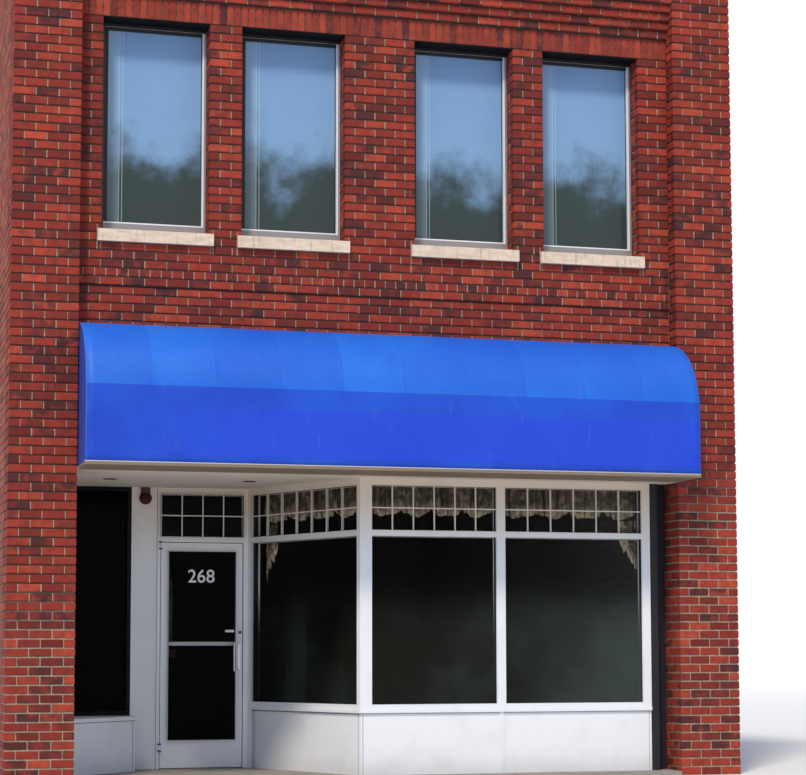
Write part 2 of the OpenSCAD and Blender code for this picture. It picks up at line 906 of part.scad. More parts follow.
left_pier();
right_pier();
left_party_wall();
right_party_wall();
front_wall();
parapet();
parapet_copings();
window_sills();
rear_lower_wall();
rear_upper_wall();
floor_slab();
upper_floor();
roof_deck();
storefront_beams();
fascia_board();
entry_ceiling();
entry_side_wall();
steel_post();
storefront_posts();
storefront_rails();
angled_rails();
storefront_glass();
front_bulkhead();
angled_bulkhead();
left_bulkhead();
display_frame();
display_glass();
side_panel();
door_frame();
door_leaf();
door_glass();
door_pull();
push_bar();
door_pivots();
alarm_bell();
downlights();
window_valances();
awning_cover();
awning_frame();
awning_soffit();
upper_window_frames();
rear_window_frames();
window_glass();
rear_door();
rear_door_frame();
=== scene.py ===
"""Looks of a two-storey brick shop building of a row.

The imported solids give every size. The walls are laid brick by brick in front of mortar backings,
the awning and the curtains are cut from cloth, and the joinery gets its bars, beads and fittings.
Lengths are in metres: X to the right as seen from the front, Y into the building, Z up.
"""
import math
import random

import bmesh
import bpy
import numpy as np
from mathutils import Matrix, Vector


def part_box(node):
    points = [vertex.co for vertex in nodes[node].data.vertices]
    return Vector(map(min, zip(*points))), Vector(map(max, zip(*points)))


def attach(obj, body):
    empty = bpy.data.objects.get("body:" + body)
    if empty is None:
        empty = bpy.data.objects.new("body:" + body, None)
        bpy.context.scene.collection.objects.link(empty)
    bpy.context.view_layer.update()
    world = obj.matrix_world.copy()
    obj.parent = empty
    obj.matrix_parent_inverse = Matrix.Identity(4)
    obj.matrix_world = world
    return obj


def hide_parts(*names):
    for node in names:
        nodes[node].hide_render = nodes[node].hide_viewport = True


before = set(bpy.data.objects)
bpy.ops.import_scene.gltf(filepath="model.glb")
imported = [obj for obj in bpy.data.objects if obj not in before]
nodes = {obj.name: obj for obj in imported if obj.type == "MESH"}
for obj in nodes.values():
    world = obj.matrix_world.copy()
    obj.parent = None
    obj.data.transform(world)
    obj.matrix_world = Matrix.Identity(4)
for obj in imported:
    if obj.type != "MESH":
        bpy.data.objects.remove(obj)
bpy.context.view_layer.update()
draw = np.random.default_rng(11)

# Main lines of the building, from its solids

(SIDE_L, FRONT_Y, _), (BAY_L, PIER_BACK, TOP_Z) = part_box("left_pier")
BAY_R, SIDE_R = (p.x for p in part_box("right_pier"))
BACK_Y, SIDE_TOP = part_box("left_party_wall")[1].yz
ROOM_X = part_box("right_party_wall")[0].x
(_, WALL_Y, BEAM_TOP), (_, WALL_IN, CORBEL_Z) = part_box("front_wall")
REAR_IN, FLOOR_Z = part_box("rear_upper_wall")[0].yz
STRIP_Y, SHOP_Y, ENTRY_Y = (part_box(name)[0].y for name in (
    "fascia_board", "storefront_rails", "door_frame"))
ROOF_Z, SLAB_Z = (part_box(name)[1].z for name in ("roof_deck", "floor_slab"))
SOFFIT_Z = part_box("entry_ceiling")[0].z
WINDOW_Z, HEAD_Z = (p.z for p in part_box("upper_window_frames"))
(AWNING_L, AWNING_Y, _), (AWNING_R, _, AWNING_TOP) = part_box("awning_cover")
SEAMS_Z, PANELS = (3.505, 2.89), 10
BAND_Z = 4.5
SILL_H, SILL_EAR = 0.11, 0.04
WINDOW_W, WINDOW_GAP = 0.985, 0.305
WINDOW_LEFT = [x + i * (WINDOW_W + WINDOW_GAP) for x in (BAY_L + 0.21, BAY_R - 2.585)
               for i in (0, 1)]
REVEAL, SASH_D, SASH_W, SASH_FOOT = 0.2, 0.08, 0.036, 0.115
FELT_W = 0.9
FRAME_D, GLASS_IN, GLASS_T = 0.1, 0.018, 0.008
GLASS_Z, BAR_Z, BAR_TOP, HEAD_RAIL_Z = 0.685, 2.262, 2.31, 2.737
DISPLAY_R, LEFT_TOP = BAY_L + 0.738, 0.562
PANEL_R = DISPLAY_R + 0.246
DOOR_L = PANEL_R + 0.042
DOOR_R = DOOR_L + 0.831
SPLAY_X, POST_L = DOOR_R + 0.046, BAY_L + 2.646
BAY_1 = POST_L + 0.113
MULLION, MULLION_W = BAY_L + 3.984, 0.084
POST_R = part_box("steel_post")[0].x
END_POST = POST_R - 0.082
BOARD_Z = 0.614
REAR_W = 2 * ROOM_X / 3
REAR_HOLES = [(-ROOM_X + (i + 0.5) * REAR_W - WINDOW_W / 2, WINDOW_Z, WINDOW_W, 1.5)
              for i in range(3)] + [(-1.95, 1.21, 1.5, 1.2)]
REAR_DOOR = (1.02, 0.0, 0.96, 2.19)

# Shader nodes


def rgb(red, green, blue):
    """A display colour, 0 to 255, in the linear values that the shader wants."""
    def plain(c):
        c /= 255
        return c / 12.92 if c <= 0.04045 else ((c + 0.055) / 1.055) ** 2.4
    return (plain(red), plain(green), plain(blue), 1.0)


def maths(operation, swapped=False):
    """A method of Wire: a Math node with the wire as its first value, or as its last."""
    def method(self, *others):
        values = (*others, self) if swapped else (self, *others)
        return self.finish.node("ShaderNodeMath", {"operation": operation},
                                dict(enumerate(values)))
    return method


class Wire:
    """A shader socket that is added, subtracted, multiplied and compared like a number."""

    def __init__(self, finish, socket):
        self.finish, self.socket = finish, socket

    __add__ = __radd__ = maths("ADD")
    __sub__, __rsub__ = maths("SUBTRACT"), maths("SUBTRACT", swapped=True)
    __mul__ = __rmul__ = maths("MULTIPLY")
    __gt__, __lt__ = maths("GREATER_THAN"), maths("LESS_THAN")
    __or__, __abs__ = maths("MAXIMUM"), maths("ABSOLUTE")
    fraction, floor = maths("FRACT"), maths("FLOOR")

    def between(self, low, high):
        return (self > low) * (self < high)


class Nodes:
    """A node tree. Its nodes are made by node, which returns the wire of one of their outputs."""

    def __init__(self, tree):
        self.tree = tree

    def feed(self, socket, value):
        if isinstance(value, Wire):
            self.tree.links.new(value.socket, socket)
        else:
            socket.default_value = value

    def node(self, kind, settings=None, sockets=None, output=0):
        made = self.tree.nodes.new(kind)
        for key, value in (settings or {}).items():
            if key == "stops":
                stops = made.color_ramp.elements
                stops[0].color, stops[1].color = value[0], value[-1]
                for i, colour in enumerate(value[1:-1], 1):
                    stops.new(i / (len(value) - 1)).color = colour
            else:
                setattr(made, key, value)
        for key, value in (sockets or {}).items():
            self.feed(made.inputs[key], value)
        return Wire(self, made.outputs[output])


class Finish(Nodes):
    """A material with one main shader; what it does over the surface comes from its nodes."""

    def __init__(self, name, colour, roughness=0.5, **sockets):
        self.material = bpy.data.materials.new(name)
        self.material.use_nodes = True
        super().__init__(self.material.node_tree)
        self.shader = self.tree.nodes["Principled BSDF"]
        self.place = self.node("ShaderNodeTexCoord", output="Object")
        self.put("Base Color", colour)
        self.put("Roughness", roughness)
        for socket, value in sockets.items():
            self.put(socket.replace("_", " "), value)

    def put(self, socket, value):
        self.feed(self.shader.inputs[socket], value)
        return self

    def axis(self, which, source=None):
        return self.node("ShaderNodeSeparateXYZ", sockets={0: source or self.place},
                         output="XYZ".index(which))

    def stretched(self, x, y, z, source=None):
        return self.node("ShaderNodeMapping", sockets={"Vector": source or self.place,
                                                       "Scale": (x, y, z)})

    def noise(self, scale, detail=2.0, roughness=0.5, place=None):
        return self.node("ShaderNodeTexNoise", sockets={
            "Vector": place or self.place, "Scale": scale, "Detail": detail,
            "Roughness": roughness})

    def flecks(self, scale, place=None):
        return self.node("ShaderNodeTexVoronoi", sockets={
            "Vector": place or self.place, "Scale": scale}, output="Distance")

    def ramp(self, value, colours):
        """Colours at even steps from 0 to 1."""
        return self.node("ShaderNodeValToRGB", {"stops": colours}, {0: value})

    def step(self, value, low, high):
        """0 below low, 1 above high, and a smooth change between."""
        return self.node("ShaderNodeMapRange", {"interpolation_type": "SMOOTHSTEP"}, {
            "Value": value, "From Min": low, "From Max": high})

    def mix(self, share, first, second):
        return self.node("ShaderNodeMix", {"data_type": "RGBA"},
                         {0: share, 6: first, 7: second}, 2)

    def tint(self, share, colour, over=None):
        """Lays a colour over the base colour so far, or over another, by a share of 0 to 1."""
        base = self.shader.inputs["Base Color"]
        so_far = Wire(self, base.links[0].from_socket) if base.links else base.default_value[:]
        return self.put("Base Color", self.mix(share, over or so_far, colour))

    def mark(self, name):
        return self.node("ShaderNodeAttribute", {"attribute_name": name}, output="Fac")

    def flat(self):
        return self.node("ShaderNodeUVMap")

    def relief(self, height, depth, strength=1.0):
        self.put("Normal", self.node("ShaderNodeBump", sockets={
            "Strength": strength, "Distance": depth, "Height": height}))
        return self


def brick(name, reds, dark, spots=0.5):
    """Fired clay: every brick has its own red, some are burnt dark, with pits and grit."""
    f = Finish(name, reds[0], Specular_IOR_Level=0.2)
    cloudy = f.step(f.noise(14, 4, 0.6), 0.35, 0.75)
    f.tint(cloudy * 0.45, dark, over=f.ramp(f.mark("tone"), reds))
    f.tint(f.mark("burnt") * f.step(f.noise(9, 3), 0.25, 0.6), dark)
    grit = f.step(f.flecks(170), 0.16, 0.05)
    f.tint(grit * spots, rgb(48, 26, 26))
    f.put("Roughness", 0.62 + f.noise(60, 3) * 0.3)
    return f.relief(f.noise(38, 5, 0.6) + f.noise(190, 3) * 0.35 - grit * 0.3, 0.004, 0.8)


def mortar(name, colour, dark, z0, course, bed_shade, shade_from=None, upright_from=None):
    """Lime mortar: pale in the upright joints, with painted shade in the raked joints under each
    course.

    Below a set height the bed joints carry no painted shade and are pale both ways; that
    height rises from the left pier to the right one. From upright_from up, bricks stand on end
    and their long joints are dull all the way.
    """
    f = Finish(name, colour, 0.95)
    turn = ((f.axis("Z") - z0 + course * 40.5) * (1 / course)).fraction()
    # Painted shade in the raked bed joints; below the set height there is none
    bed = f.step(abs(turn - 0.5), 0.11, 0.08) * bed_shade
    if shade_from:
        height = f.axis("Z") - f.axis("X") * 0.18 + f.noise(2, 2) * 0.5
        bed = bed * f.step(height, shade_from, shade_from + 0.7)
    if upright_from:
        bed = bed | (f.axis("Z") > upright_from) * 0.7
    f.tint(f.noise(18, 4, 0.7), dark).tint(bed, dark)
    return f.relief(f.noise(240, 4, 0.7), 0.002, 0.8)


def stone(name, colour, dark, scale=7.0, streaks=0.35):
    """Veined stone or concrete, with streaks left by the rain."""
    f = Finish(name, colour, 0.82)
    veins = f.noise(scale, 6, 0.65, f.stretched(1, 1, 3))
    rain = f.step(f.noise(24, 2, 0.5, f.stretched(1, 1, 0.12)), 0.52, 0.75) * streaks
    f.tint(f.step(veins, 0.3, 0.75), dark).tint(rain, rgb(95, 84, 72))
    return f.relief(f.noise(90, 5, 0.7) + veins * 0.5, 0.002, 0.7)


def paint(name, colour, roughness=0.42, grime=0.25, ground=0.0, tooth=0.0006, soffit_glow=0.0):
    """Brushed or rolled paint: faint clouding, brush marks, and dirt that rises from the floor.

    Its last argument is how much of the warm light that the soffit throws on its upper part is
    painted in.
    """
    f = Finish(name, colour, roughness)
    cloud = f.noise(3.2, 4, 0.6)
    drips = f.step(f.noise(30, 3, 0.5, f.stretched(1, 1, 0.06)), 0.55, 0.8)
    dirt = f.step(cloud, 0.45, 0.85) * grime + drips * (grime * 0.35)
    if ground:
        dirt = dirt + f.step(f.axis("Z") + f.noise(6, 3) * 0.2, 0.36, 0.1) * ground
    # Painted light: the warm glow under the soffit, from 2 m up
    if soffit_glow:
        f.tint(f.step(f.axis("Z"), 2.0, 2.75) * soffit_glow, rgb(210, 190, 164))
    f.tint(dirt, rgb(112, 104, 96))
    f.put("Roughness", roughness + f.noise(22, 3) * 0.16)
    return f.relief(f.noise(70, 4, 0.6, f.stretched(1, 1, 0.25)), tooth, 0.6)


def metal(name, colour, roughness=0.3):
    """Metal with fine lines that lie level."""
    f = Finish(name, colour, roughness, Metallic=1.0)
    lines = f.noise(60, 3, 0.6, f.stretched(1, 1, 30))
    f.tint(lines * 0.3, rgb(96, 98, 100))
    f.put("Roughness", roughness + lines * 0.18)
    return f.relief(lines, 0.0002, 0.4)


def wiped(f):
    """Glass that was wiped: smooth, with faint smears."""
    return f.put("Roughness", 0.03 + f.step(f.noise(5, 4, 0.6), 0.55, 0.9) * 0.08)


def glass(name, dark, grey, see_through, gloss=0.09):
    """Shop glass, its painted reflection greyer towards the right. see_through is for its foot and
    for its top.
    """
    f = Finish(name, dark, 0.04, Specular_IOR_Level=gloss)
    up = f.step(f.axis("Z") + f.noise(0.8, 2) * 0.3, 1.35, 2.05)
    # Painted reflection: grey patches, and more grey towards the right
    pale = f.step(f.noise(1.1, 3, 0.55), 0.4, 0.75) * 0.4 + f.step(f.axis("X"), 1.3, 2.6) * 0.75
    f.tint(pale, grey)
    f.put("Alpha", 1 - up * see_through[1] - (1 - up) * see_through[0])
    return wiped(f)


RED_BRICK = brick("red facing brick", [rgb(100, 34, 28), rgb(136, 48, 38), rgb(158, 58, 42),
                                       rgb(184, 78, 54)], rgb(70, 38, 40))
COMMON_BRICK = brick("common brick", [rgb(120, 52, 40), rgb(146, 66, 50), rgb(160, 84, 64),
                                      rgb(172, 100, 78)], rgb(90, 56, 52), 0.7)
SOLDIER = brick("upright brick", [rgb(132, 48, 38), rgb(156, 60, 44), rgb(172, 72, 52)],
                rgb(78, 36, 38))
LIMESTONE = rgb(224, 207, 188), rgb(200, 176, 154)
STONE = stone("limestone", *LIMESTONE)
SLAB = stone("concrete", rgb(150, 146, 140), rgb(122, 118, 112), 5.0, 0.2)
WHITE = paint("white enamel", rgb(226, 229, 236), 0.32, 0.1, 0.1, 0.0003, 0.75)
BOARD = paint("white board paint", rgb(228, 231, 237), 0.5, 0.12, 0.16, soffit_glow=0.6)
CREAM = paint("cream ceiling paint", rgb(218, 207, 192), 0.6, 0.2)
BLACK = paint("black enamel", rgb(16, 16, 18), 0.4, 0.03).put("Specular IOR Level", 0.1)
NAVY = paint("dark blue steel paint", rgb(12, 14, 28), 0.5, 0.02, 0.02)
GREY = paint("grey door paint", rgb(74, 80, 86), 0.45, 0.2, 0.3)
IRON = paint("red lead on steel", rgb(104, 62, 50), 0.6, 0.5)
ALUMINIUM = metal("brushed aluminium", rgb(206, 208, 210))
STEEL = metal("blackened steel", rgb(88, 86, 84), 0.4)
# Room plaster, dark as painted shade of the unlit room behind the glass
PLASTER = paint("room plaster", rgb(96, 92, 88), 0.85, 0.3)
TIMBER = paint("floor timber", rgb(120, 92, 66), 0.6, 0.4)
DARK_GLASS = glass("black display glass", rgb(3, 3, 4), rgb(5, 5, 7), (0.1, 0.05), 0.02)
# The shop glass's dark tint is raised to an olive grey as painted reflection, and its grey is
# painted reflection
SHOP_GLASS = glass("shop glass", rgb(24, 26, 21), rgb(66, 76, 76), (0.3, 0.92))
DOOR_GLASS = glass("door glass", rgb(10, 10, 10), rgb(16, 17, 17), (0.88, 0.88), 0.05)
GASKET = Finish("black rubber", rgb(16, 16, 17), 0.6)
GASKET.put("Roughness", 0.5 + GASKET.noise(40, 3) * 0.3).relief(GASKET.noise(300, 2), 0.0003)
LAMP_CAN = paint("lamp can paint", rgb(84, 78, 70), 0.5, 0.3)


def felt_finish():
    """Roofing felt: grit, ponding stains and the tar that shows at each lap."""
    f = Finish("roofing felt", rgb(58, 58, 60), 0.9)
    lap = ((f.axis("X") + 20.0) * (1 / FELT_W)).fraction()
    ponds = f.step(f.noise(0.7, 4, 0.6), 0.45, 0.62)
    f.tint(ponds * 0.5, rgb(92, 88, 80), over=rgb(62, 62, 64))
    f.tint((lap < 0.03) * 0.8, rgb(22, 22, 23)).tint(f.noise(160, 3) * 0.4, rgb(30, 30, 31))
    return f.relief(f.noise(320, 3, 0.7) + f.noise(1.5, 3) * 0.6, 0.003, 0.8)


def upper_glass_finish():
    """Upper windows: a painted reflection, sky blue at the top and dark green-grey below; the rear
    panes are dark.
    """
    f = Finish("upper window glass", rgb(90, 120, 160), 0.05, Specular_IOR_Level=0.25, Alpha=0.93)
    # Painted reflection: sky blue above a wavering line, dark green-grey below it
    shore = f.axis("Z") + (f.noise(1.7, 5, 0.62) - 0.5) * 1.7
    f.tint(f.step(shore, 5.45, 6.15), rgb(126, 164, 204), over=rgb(52, 66, 66))
    f.tint(f.step(shore, 6.0, 7.1) * 0.5, rgb(114, 150, 202))
    across = f.axis("X")
    # The painted reflection is paler over the left strip and over the two meeting stiles of each
    # pane
    for x in WINDOW_LEFT:
        f.tint(across.between(x, x + 0.176) * 0.22, rgb(178, 206, 222))
        for line in (x + 0.176, x + 0.204):
            f.tint(across.between(line, line + 0.009) * 0.35, rgb(196, 214, 232))
    f.tint(f.axis("Y") > 0.0, rgb(18, 21, 25))
    return wiped(f)


def window_paint_finish():
    """White window frames, the left stile and head black as painted shade, and a grey foot and
    right edge.
    """
    f = paint("white window enamel", rgb(226, 229, 238), 0.32, 0.12, 0.0, 0.0003)
    # Painted shade: the left stile and the head go black, as in the shade of the reveal
    dark, greyed = f.axis("Z") > HEAD_Z - SASH_W, f.axis("Z") < WINDOW_Z + SASH_FOOT - 0.012
    across = f.axis("X")
    for x in WINDOW_LEFT:
        right = x + WINDOW_W
        dark = dark | across.between(x - 0.001, x + SASH_W)
        greyed = greyed | across.between(right - 0.019, right + 0.001)
    return f.tint(greyed, rgb(138, 136, 140)).tint(dark, rgb(16, 17, 23))


def bell_finish():
    """A dark red bell under its grey-brown back box."""
    f = Finish("bell enamel", rgb(60, 12, 10), 0.35, Specular_IOR_Level=0.2)
    box = f.axis("Z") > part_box("alarm_bell")[1].z - 0.052
    red = f.mix(f.noise(30, 4, 0.6), rgb(66, 10, 10), rgb(40, 7, 8))
    grey = f.mix(f.noise(12, 3), rgb(76, 62, 50), rgb(56, 44, 38))
    f.tint(box, grey, over=red)
    f.put("Roughness", 0.3 + f.noise(40, 3) * 0.25)
    return f.relief(f.noise(120, 3), 0.0004, 0.5)


def coping_finish():
    """Limestone copings in metre lengths, with a dark joint between each two."""
    f = stone("limestone copings", *LIMESTONE)
    deep = f.axis("Y")
    ends = (deep < PIER_BACK + 0.04) + (deep > REAR_IN - 0.04)
    for axis, share in (("X", ends), ("Y", 1 - ends)):
        joint = (f.axis(axis) + 20.25).fraction() < 0.009
        f.tint(joint * share * 0.8, rgb(92, 82, 72))
    return f


def canvas_finish():
    """Coated awning cloth: a fine weave, sewn panels, and a deeper blue below the upper seam."""
    f = Finish("blue awning cloth", rgb(20, 96, 208), 0.5, Specular_IOR_Level=0.35)
    cloth = f.flat()
    warp = f.noise(900, 1, 0.5, f.stretched(1, 0.08, 1, cloth))
    weft = f.noise(900, 1, 0.5, f.stretched(0.08, 1, 1, cloth))
    height, across = f.axis("Z"), f.axis("X")
    turn = (across - BAY_L) * (PANELS / (BAY_R - BAY_L))
    panel = turn.floor()
    own = f.node("ShaderNodeTexWhiteNoise", {"noise_dimensions": "1D"}, {"W": panel})
    faded = f.step(f.noise(1.1, 4, 0.55), 0.35, 0.7)
    upper = f.mix(faded, rgb(16, 94, 204), rgb(28, 112, 216))
    # Each panel gets its own random darkening, and painted shade darkens it towards its right seam
    upper = f.mix(own * 0.35 + (turn - panel) * 0.25, upper, rgb(10, 80, 192))
    sewn = (turn - panel < 0.006) + (turn - panel > 0.994)
    upper = f.mix(sewn * 0.3, upper, rgb(8, 52, 150))
    lower = f.mix(faded, rgb(10, 62, 186), rgb(18, 80, 202))
    violet = f.step(height, 3.36, 3.28) * f.step(height, 2.885, 2.895)
    violet = violet * f.step(across + f.noise(0.7, 3), -2.2, -0.8)
    lower = f.mix(violet * 0.7, lower, rgb(26, 62, 208))
    f.tint(f.step(height, 3.509, 3.501), lower, over=upper)
    for z in SEAMS_Z:
        f.tint(height.between(z - 0.003, z + 0.003) * 0.4, rgb(8, 44, 150))
    # Painted light at both ends: a highlight band just inside the end bows, and painted shade on
    # the end panels
    for wide, share, colour in ((0.0145, 0.5, rgb(86, 140, 232)),
                                (0.0085, 0.85, rgb(10, 48, 146))):
        f.tint((abs(across) > BAY_R - wide) * share, colour)
    dust = f.step(f.noise(14, 4, 0.6, f.stretched(1, 1, 0.2)), 0.6, 0.85)
    f.tint(dust * 0.14, rgb(150, 160, 184))
    f.put("Roughness", 0.46 + f.noise(18, 3) * 0.14)
    creases = f.noise(2.2, 3, 0.5, f.stretched(1, 1, 0.5))
    return f.relief((warp + weft) * 0.06 + creases, 0.003, 0.25)


def curtain_finish():
    """Printed curtain cloth: flowers in cream, green and rose, and a paler border at the hem.

    Painted shade darkens it between its folds, and near the rod, under the soffit's shade.
    """
    f = Finish("flowered curtain cloth", rgb(150, 134, 104), 0.9)
    cloth = f.flat()
    petals = f.stretched(1, 0.6, 1, cloth)
    f.tint(f.noise(6, 3, 0.6, cloth), rgb(92, 82, 60), over=rgb(150, 132, 102))
    for scale, low, high, share, colour in ((15, 0.5, 0.6, 0.7, rgb(206, 190, 160)),
                                            (19.3, 0.53, 0.62, 0.8, rgb(58, 62, 42)),
                                            (12.7, 0.58, 0.66, 0.7, rgb(108, 54, 48))):
        f.tint(f.step(f.noise(scale, 3, 0.55, petals), low, high) * share, colour)
    border = f.step(f.axis("Y", cloth), -0.15, -0.05)
    border = border * f.step(f.noise(21, 3, 0.6, cloth), 0.3, 0.6)
    f.tint(border * 0.85, rgb(236, 220, 188))
    # Painted shade between the folds
    folds = f.step(f.noise(1, 2, 0.5, f.stretched(34, 2.2, 1, cloth)), 0.46, 0.68)
    f.tint(folds * 0.85, rgb(26, 22, 18))
    f.tint(f.step(f.axis("Z"), 2.42, 2.58) * 0.5, rgb(28, 18, 10))
    return f.relief(f.noise(700, 2, 0.5, cloth), 0.0006, 0.6)


def tan_finish():
    """Boards under the awning: tan paint over the grain."""
    f = Finish("tan soffit paint", rgb(140, 124, 110), 0.7)
    grain = f.noise(40, 4, 0.6, f.stretched(0.05, 1, 1))
    f.tint(grain, rgb(102, 88, 74), over=rgb(142, 126, 108))
    return f.relief(grain, 0.001, 0.5)


FELT, CANVAS, CURTAIN, TAN = felt_finish(), canvas_finish(), curtain_finish(), tan_finish()
SKY_GLASS, WINDOW_PAINT, BELL = upper_glass_finish(), window_paint_finish(), bell_finish()
COPING = coping_finish()

NODE_FINISH = {
    COPING: "parapet_copings", STONE: "window_sills", SLAB: "floor_slab", TIMBER: "upper_floor",
    FELT: "roof_deck", IRON: "storefront_beams", CREAM: "entry_ceiling", NAVY: "steel_post",
    BOARD: "fascia_board entry_side_wall front_bulkhead angled_bulkhead left_bulkhead side_panel",
    WHITE: "storefront_posts storefront_rails angled_rails door_frame door_leaf push_bar",
    SHOP_GLASS: "storefront_glass", DARK_GLASS: "display_glass", DOOR_GLASS: "door_glass",
    SKY_GLASS: "window_glass", BLACK: "display_frame", WINDOW_PAINT: "upper_window_frames",
    GREY: "rear_window_frames rear_door rear_door_frame", ALUMINIUM: "door_pull awning_frame",
    STEEL: "door_pivots", BELL: "alarm_bell", LAMP_CAN: "downlights", TAN: "awning_soffit",
}
for finish, names in NODE_FINISH.items():
    for name in names.split():
        for place in nodes[name].material_slots:
            place.material = finish.material


# Making pieces


def placed(name, data):
    """An object with this data, in the scene."""
    made = bpy.data.objects.new(name, data)
    bpy.context.scene.collection.objects.link(made)
    return made


def piece(name, bm, finishes, body="building", slot=None, node=None, smooth=False):
    """Turns a bmesh, or the points and faces of a wall's bricks, into a piece on a body."""
    mesh = bpy.data.meshes.new(name)
    if isinstance(bm, bmesh.types.BMesh):
        bm.normal_update()
        bm.to_mesh(mesh)
        bm.free()
    else:
        mesh.from_pydata(*bm)
    for finish in finishes if isinstance(finishes, list) else [finishes]:
        mesh.materials.append(finish.material)
    made = placed(name, mesh)
    if smooth:
        for face in mesh.polygons:
            face.use_smooth = True
    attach(made, body)
    if node:
        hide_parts(*([node] if isinstance(node, str) else node))
    return made


class Joinery:
    """Gathers bars and plates, each with eased edges, into one piece."""

    def __init__(self):
        self.bm = bmesh.new()
        self.turn = None

    def bar(self, low, high, ease):
        low, high = Vector(low), Vector(high)
        size = high - low
        made = bmesh.ops.create_cube(self.bm, size=1.0, matrix=Matrix.LocRotScale(
            (low + high) / 2, None, size))
        edges = list({e for v in made["verts"] for e in v.link_edges})
        out = bmesh.ops.bevel(self.bm, geom=edges, offset=min(ease, min(size) * 0.3),
                              segments=1, affect="EDGES", profile=0.5, material=-1)
        if self.turn:
            bmesh.ops.transform(self.bm, matrix=self.turn, verts=out["verts"])

    def ring(self, x0, x1, z0, z1, y0, y1, wide, ease):
        """Four bars round an opening, inside its edges."""
        self.bar((x0, y0, z0), (x0 + wide, y1, z1), ease)
        self.bar((x1 - wide, y0, z0), (x1, y1, z1), ease)
        self.bar((x0 + wide, y0, z0), (x1 - wide, y1, z0 + wide), ease)
        self.bar((x0 + wide, y0, z1 - wide), (x1 - wide, y1, z1), ease)

    def done(self, name, finish, **how):
        return piece(name, self.bm, finish, **how)


# Brickwork

BEVEL = 0.0045
NOMINAL_COURSE = 0.0813
COURSE = TOP_Z / round(TOP_Z / NOMINAL_COURSE)
ROOF_COURSE = math.floor(ROOF_Z / COURSE)
JOINT, BED = 0.0048, 0.0062
RECESS = 0.008
BRICK_D, SOLDIER_H, SOLDIER_W = 0.0983, 0.203, 0.0677
SLIP, THICK_SLIP, ONE_FACED = 0.03, 0.06, 0.05
UNEVEN = 0.0014
LEAST, LEAST_COURSE, LEAST_END = 0.02, 0.024, 0.04
SIDE_PITCH = (BACK_Y - FRONT_Y) / 49
REAR_PITCH = (SIDE_R - SIDE_L) / 34
PIER_PITCH = (BAY_L - SIDE_L) / 3
BAY_W = BAY_R - BAY_L
# The axis that a face looks along, and which way
SIDES = {"front": (1, -1), "back": (1, 1), "left": (0, -1), "right": (0, 1), "all": None}


def brick_template(shows):
    """A brick with its showing edges softened, as signs and insets for any size of brick."""
    bm = bmesh.new()
    bmesh.ops.create_cube(bm, size=2.0)
    side = SIDES[shows]
    edges = [e for e in bm.edges if side is None or all(
        v.co[side[0]] * side[1] > 0.5 for v in e.verts)]
    bmesh.ops.bevel(bm, geom=edges, offset=0.1, segments=1, affect="EDGES", profile=0.5,
                    material=-1)
    points = np.array([v.co for v in bm.verts])
    faces = [[v.index for v in f.verts] for f in bm.faces]
    bm.free()
    return np.sign(points), np.round((1 - np.abs(points)) / 0.1), faces


TEMPLATES = {shows: brick_template(shows) for shows in SIDES}


class Brickwork:
    """Bricks of one wall, joined in one mesh; each has a tone and may be burnt."""

    def __init__(self, burnt):
        self.rows = {shows: [] for shows in SIDES}
        self.burnt = burnt

    def add(self, near, far, shows="all"):
        """A brick between two opposite corners."""
        self.rows[shows].append((*map(min, near, far), *map(max, near, far)))

    def face(self, shows, plane, a0, a1, z0, z1, deep=SLIP, joints=(JOINT, JOINT)):
        """A brick in a wall's face. a0 to a1 along the wall and z0 to z1 up take in its joints."""
        a0, a1, z0, z1 = a0 + joints[0], a1 - joints[1], z0 + BED, z1 - BED
        axis, outward = SIDES[shows]
        back = plane - deep * outward
        near, far = (((a0, plane, z0), (a1, back, z1)) if axis
                     else ((plane, a0, z0), (back, a1, z1)))
        self.add(near, far, shows if deep < ONE_FACED else "all")

    def done(self, name, finish, **how):
        points, faces, tones, burns, count = [], [], [], [], 0
        for shows, rows in self.rows.items():
            if not rows:
                continue
            signs, insets, template = TEMPLATES[shows]
            box = np.array(rows)
            low = box[:, :3] + draw.uniform(0, UNEVEN, (len(box), 3))
            high = box[:, 3:] - draw.uniform(0, UNEVEN, (len(box), 3))
            centre, half = (low + high) / 2, (high - low) / 2
            edge = np.minimum(BEVEL, half * 0.35)
            where = centre[:, None] + signs[None] * (half[:, None] - insets[None] * edge[:, None])
            points.append(where.reshape(-1, 3))
            for i in range(len(box)):
                start = count + i * len(signs)
                faces += [[start + v for v in f] for f in template]
            count += len(box) * len(signs)
            tones.append(np.repeat(draw.beta(2.2, 2.2, len(box)), len(signs)))
            dark = np.where(draw.random(len(box)) < self.burnt,
                            draw.uniform(0.55, 1.0, len(box)), draw.uniform(0, 0.2, len(box)))
            burns.append(np.repeat(dark, len(signs)))
        made = piece(name, (np.concatenate(points), [], faces), finish, **how)
        for key, values in (("tone", tones), ("burnt", burns)):
            made.data.attributes.new(key, "FLOAT", "POINT").data.foreach_set(
                "value", np.concatenate(values).astype(np.float32))
        return made


def courses(z0, z1, course=COURSE):
    """Number, foot and top of each course between two heights; the last may be cut low."""
    for k in range(math.ceil((z1 - z0) / course - 1e-6)):
        low, high = z0 + k * course, min(z0 + (k + 1) * course, z1)
        if high - low > LEAST:
            yield k, low, high


def spans(a, stop, size, pitch, least=0.0):
    """Ends of the bricks of a course. The first has its own size; a rest under least joins on."""
    while a < stop - 0.01:
        b = min(a + size, stop)
        if stop - b < least:
            b = stop
        yield a, b
        a, size = b, pitch


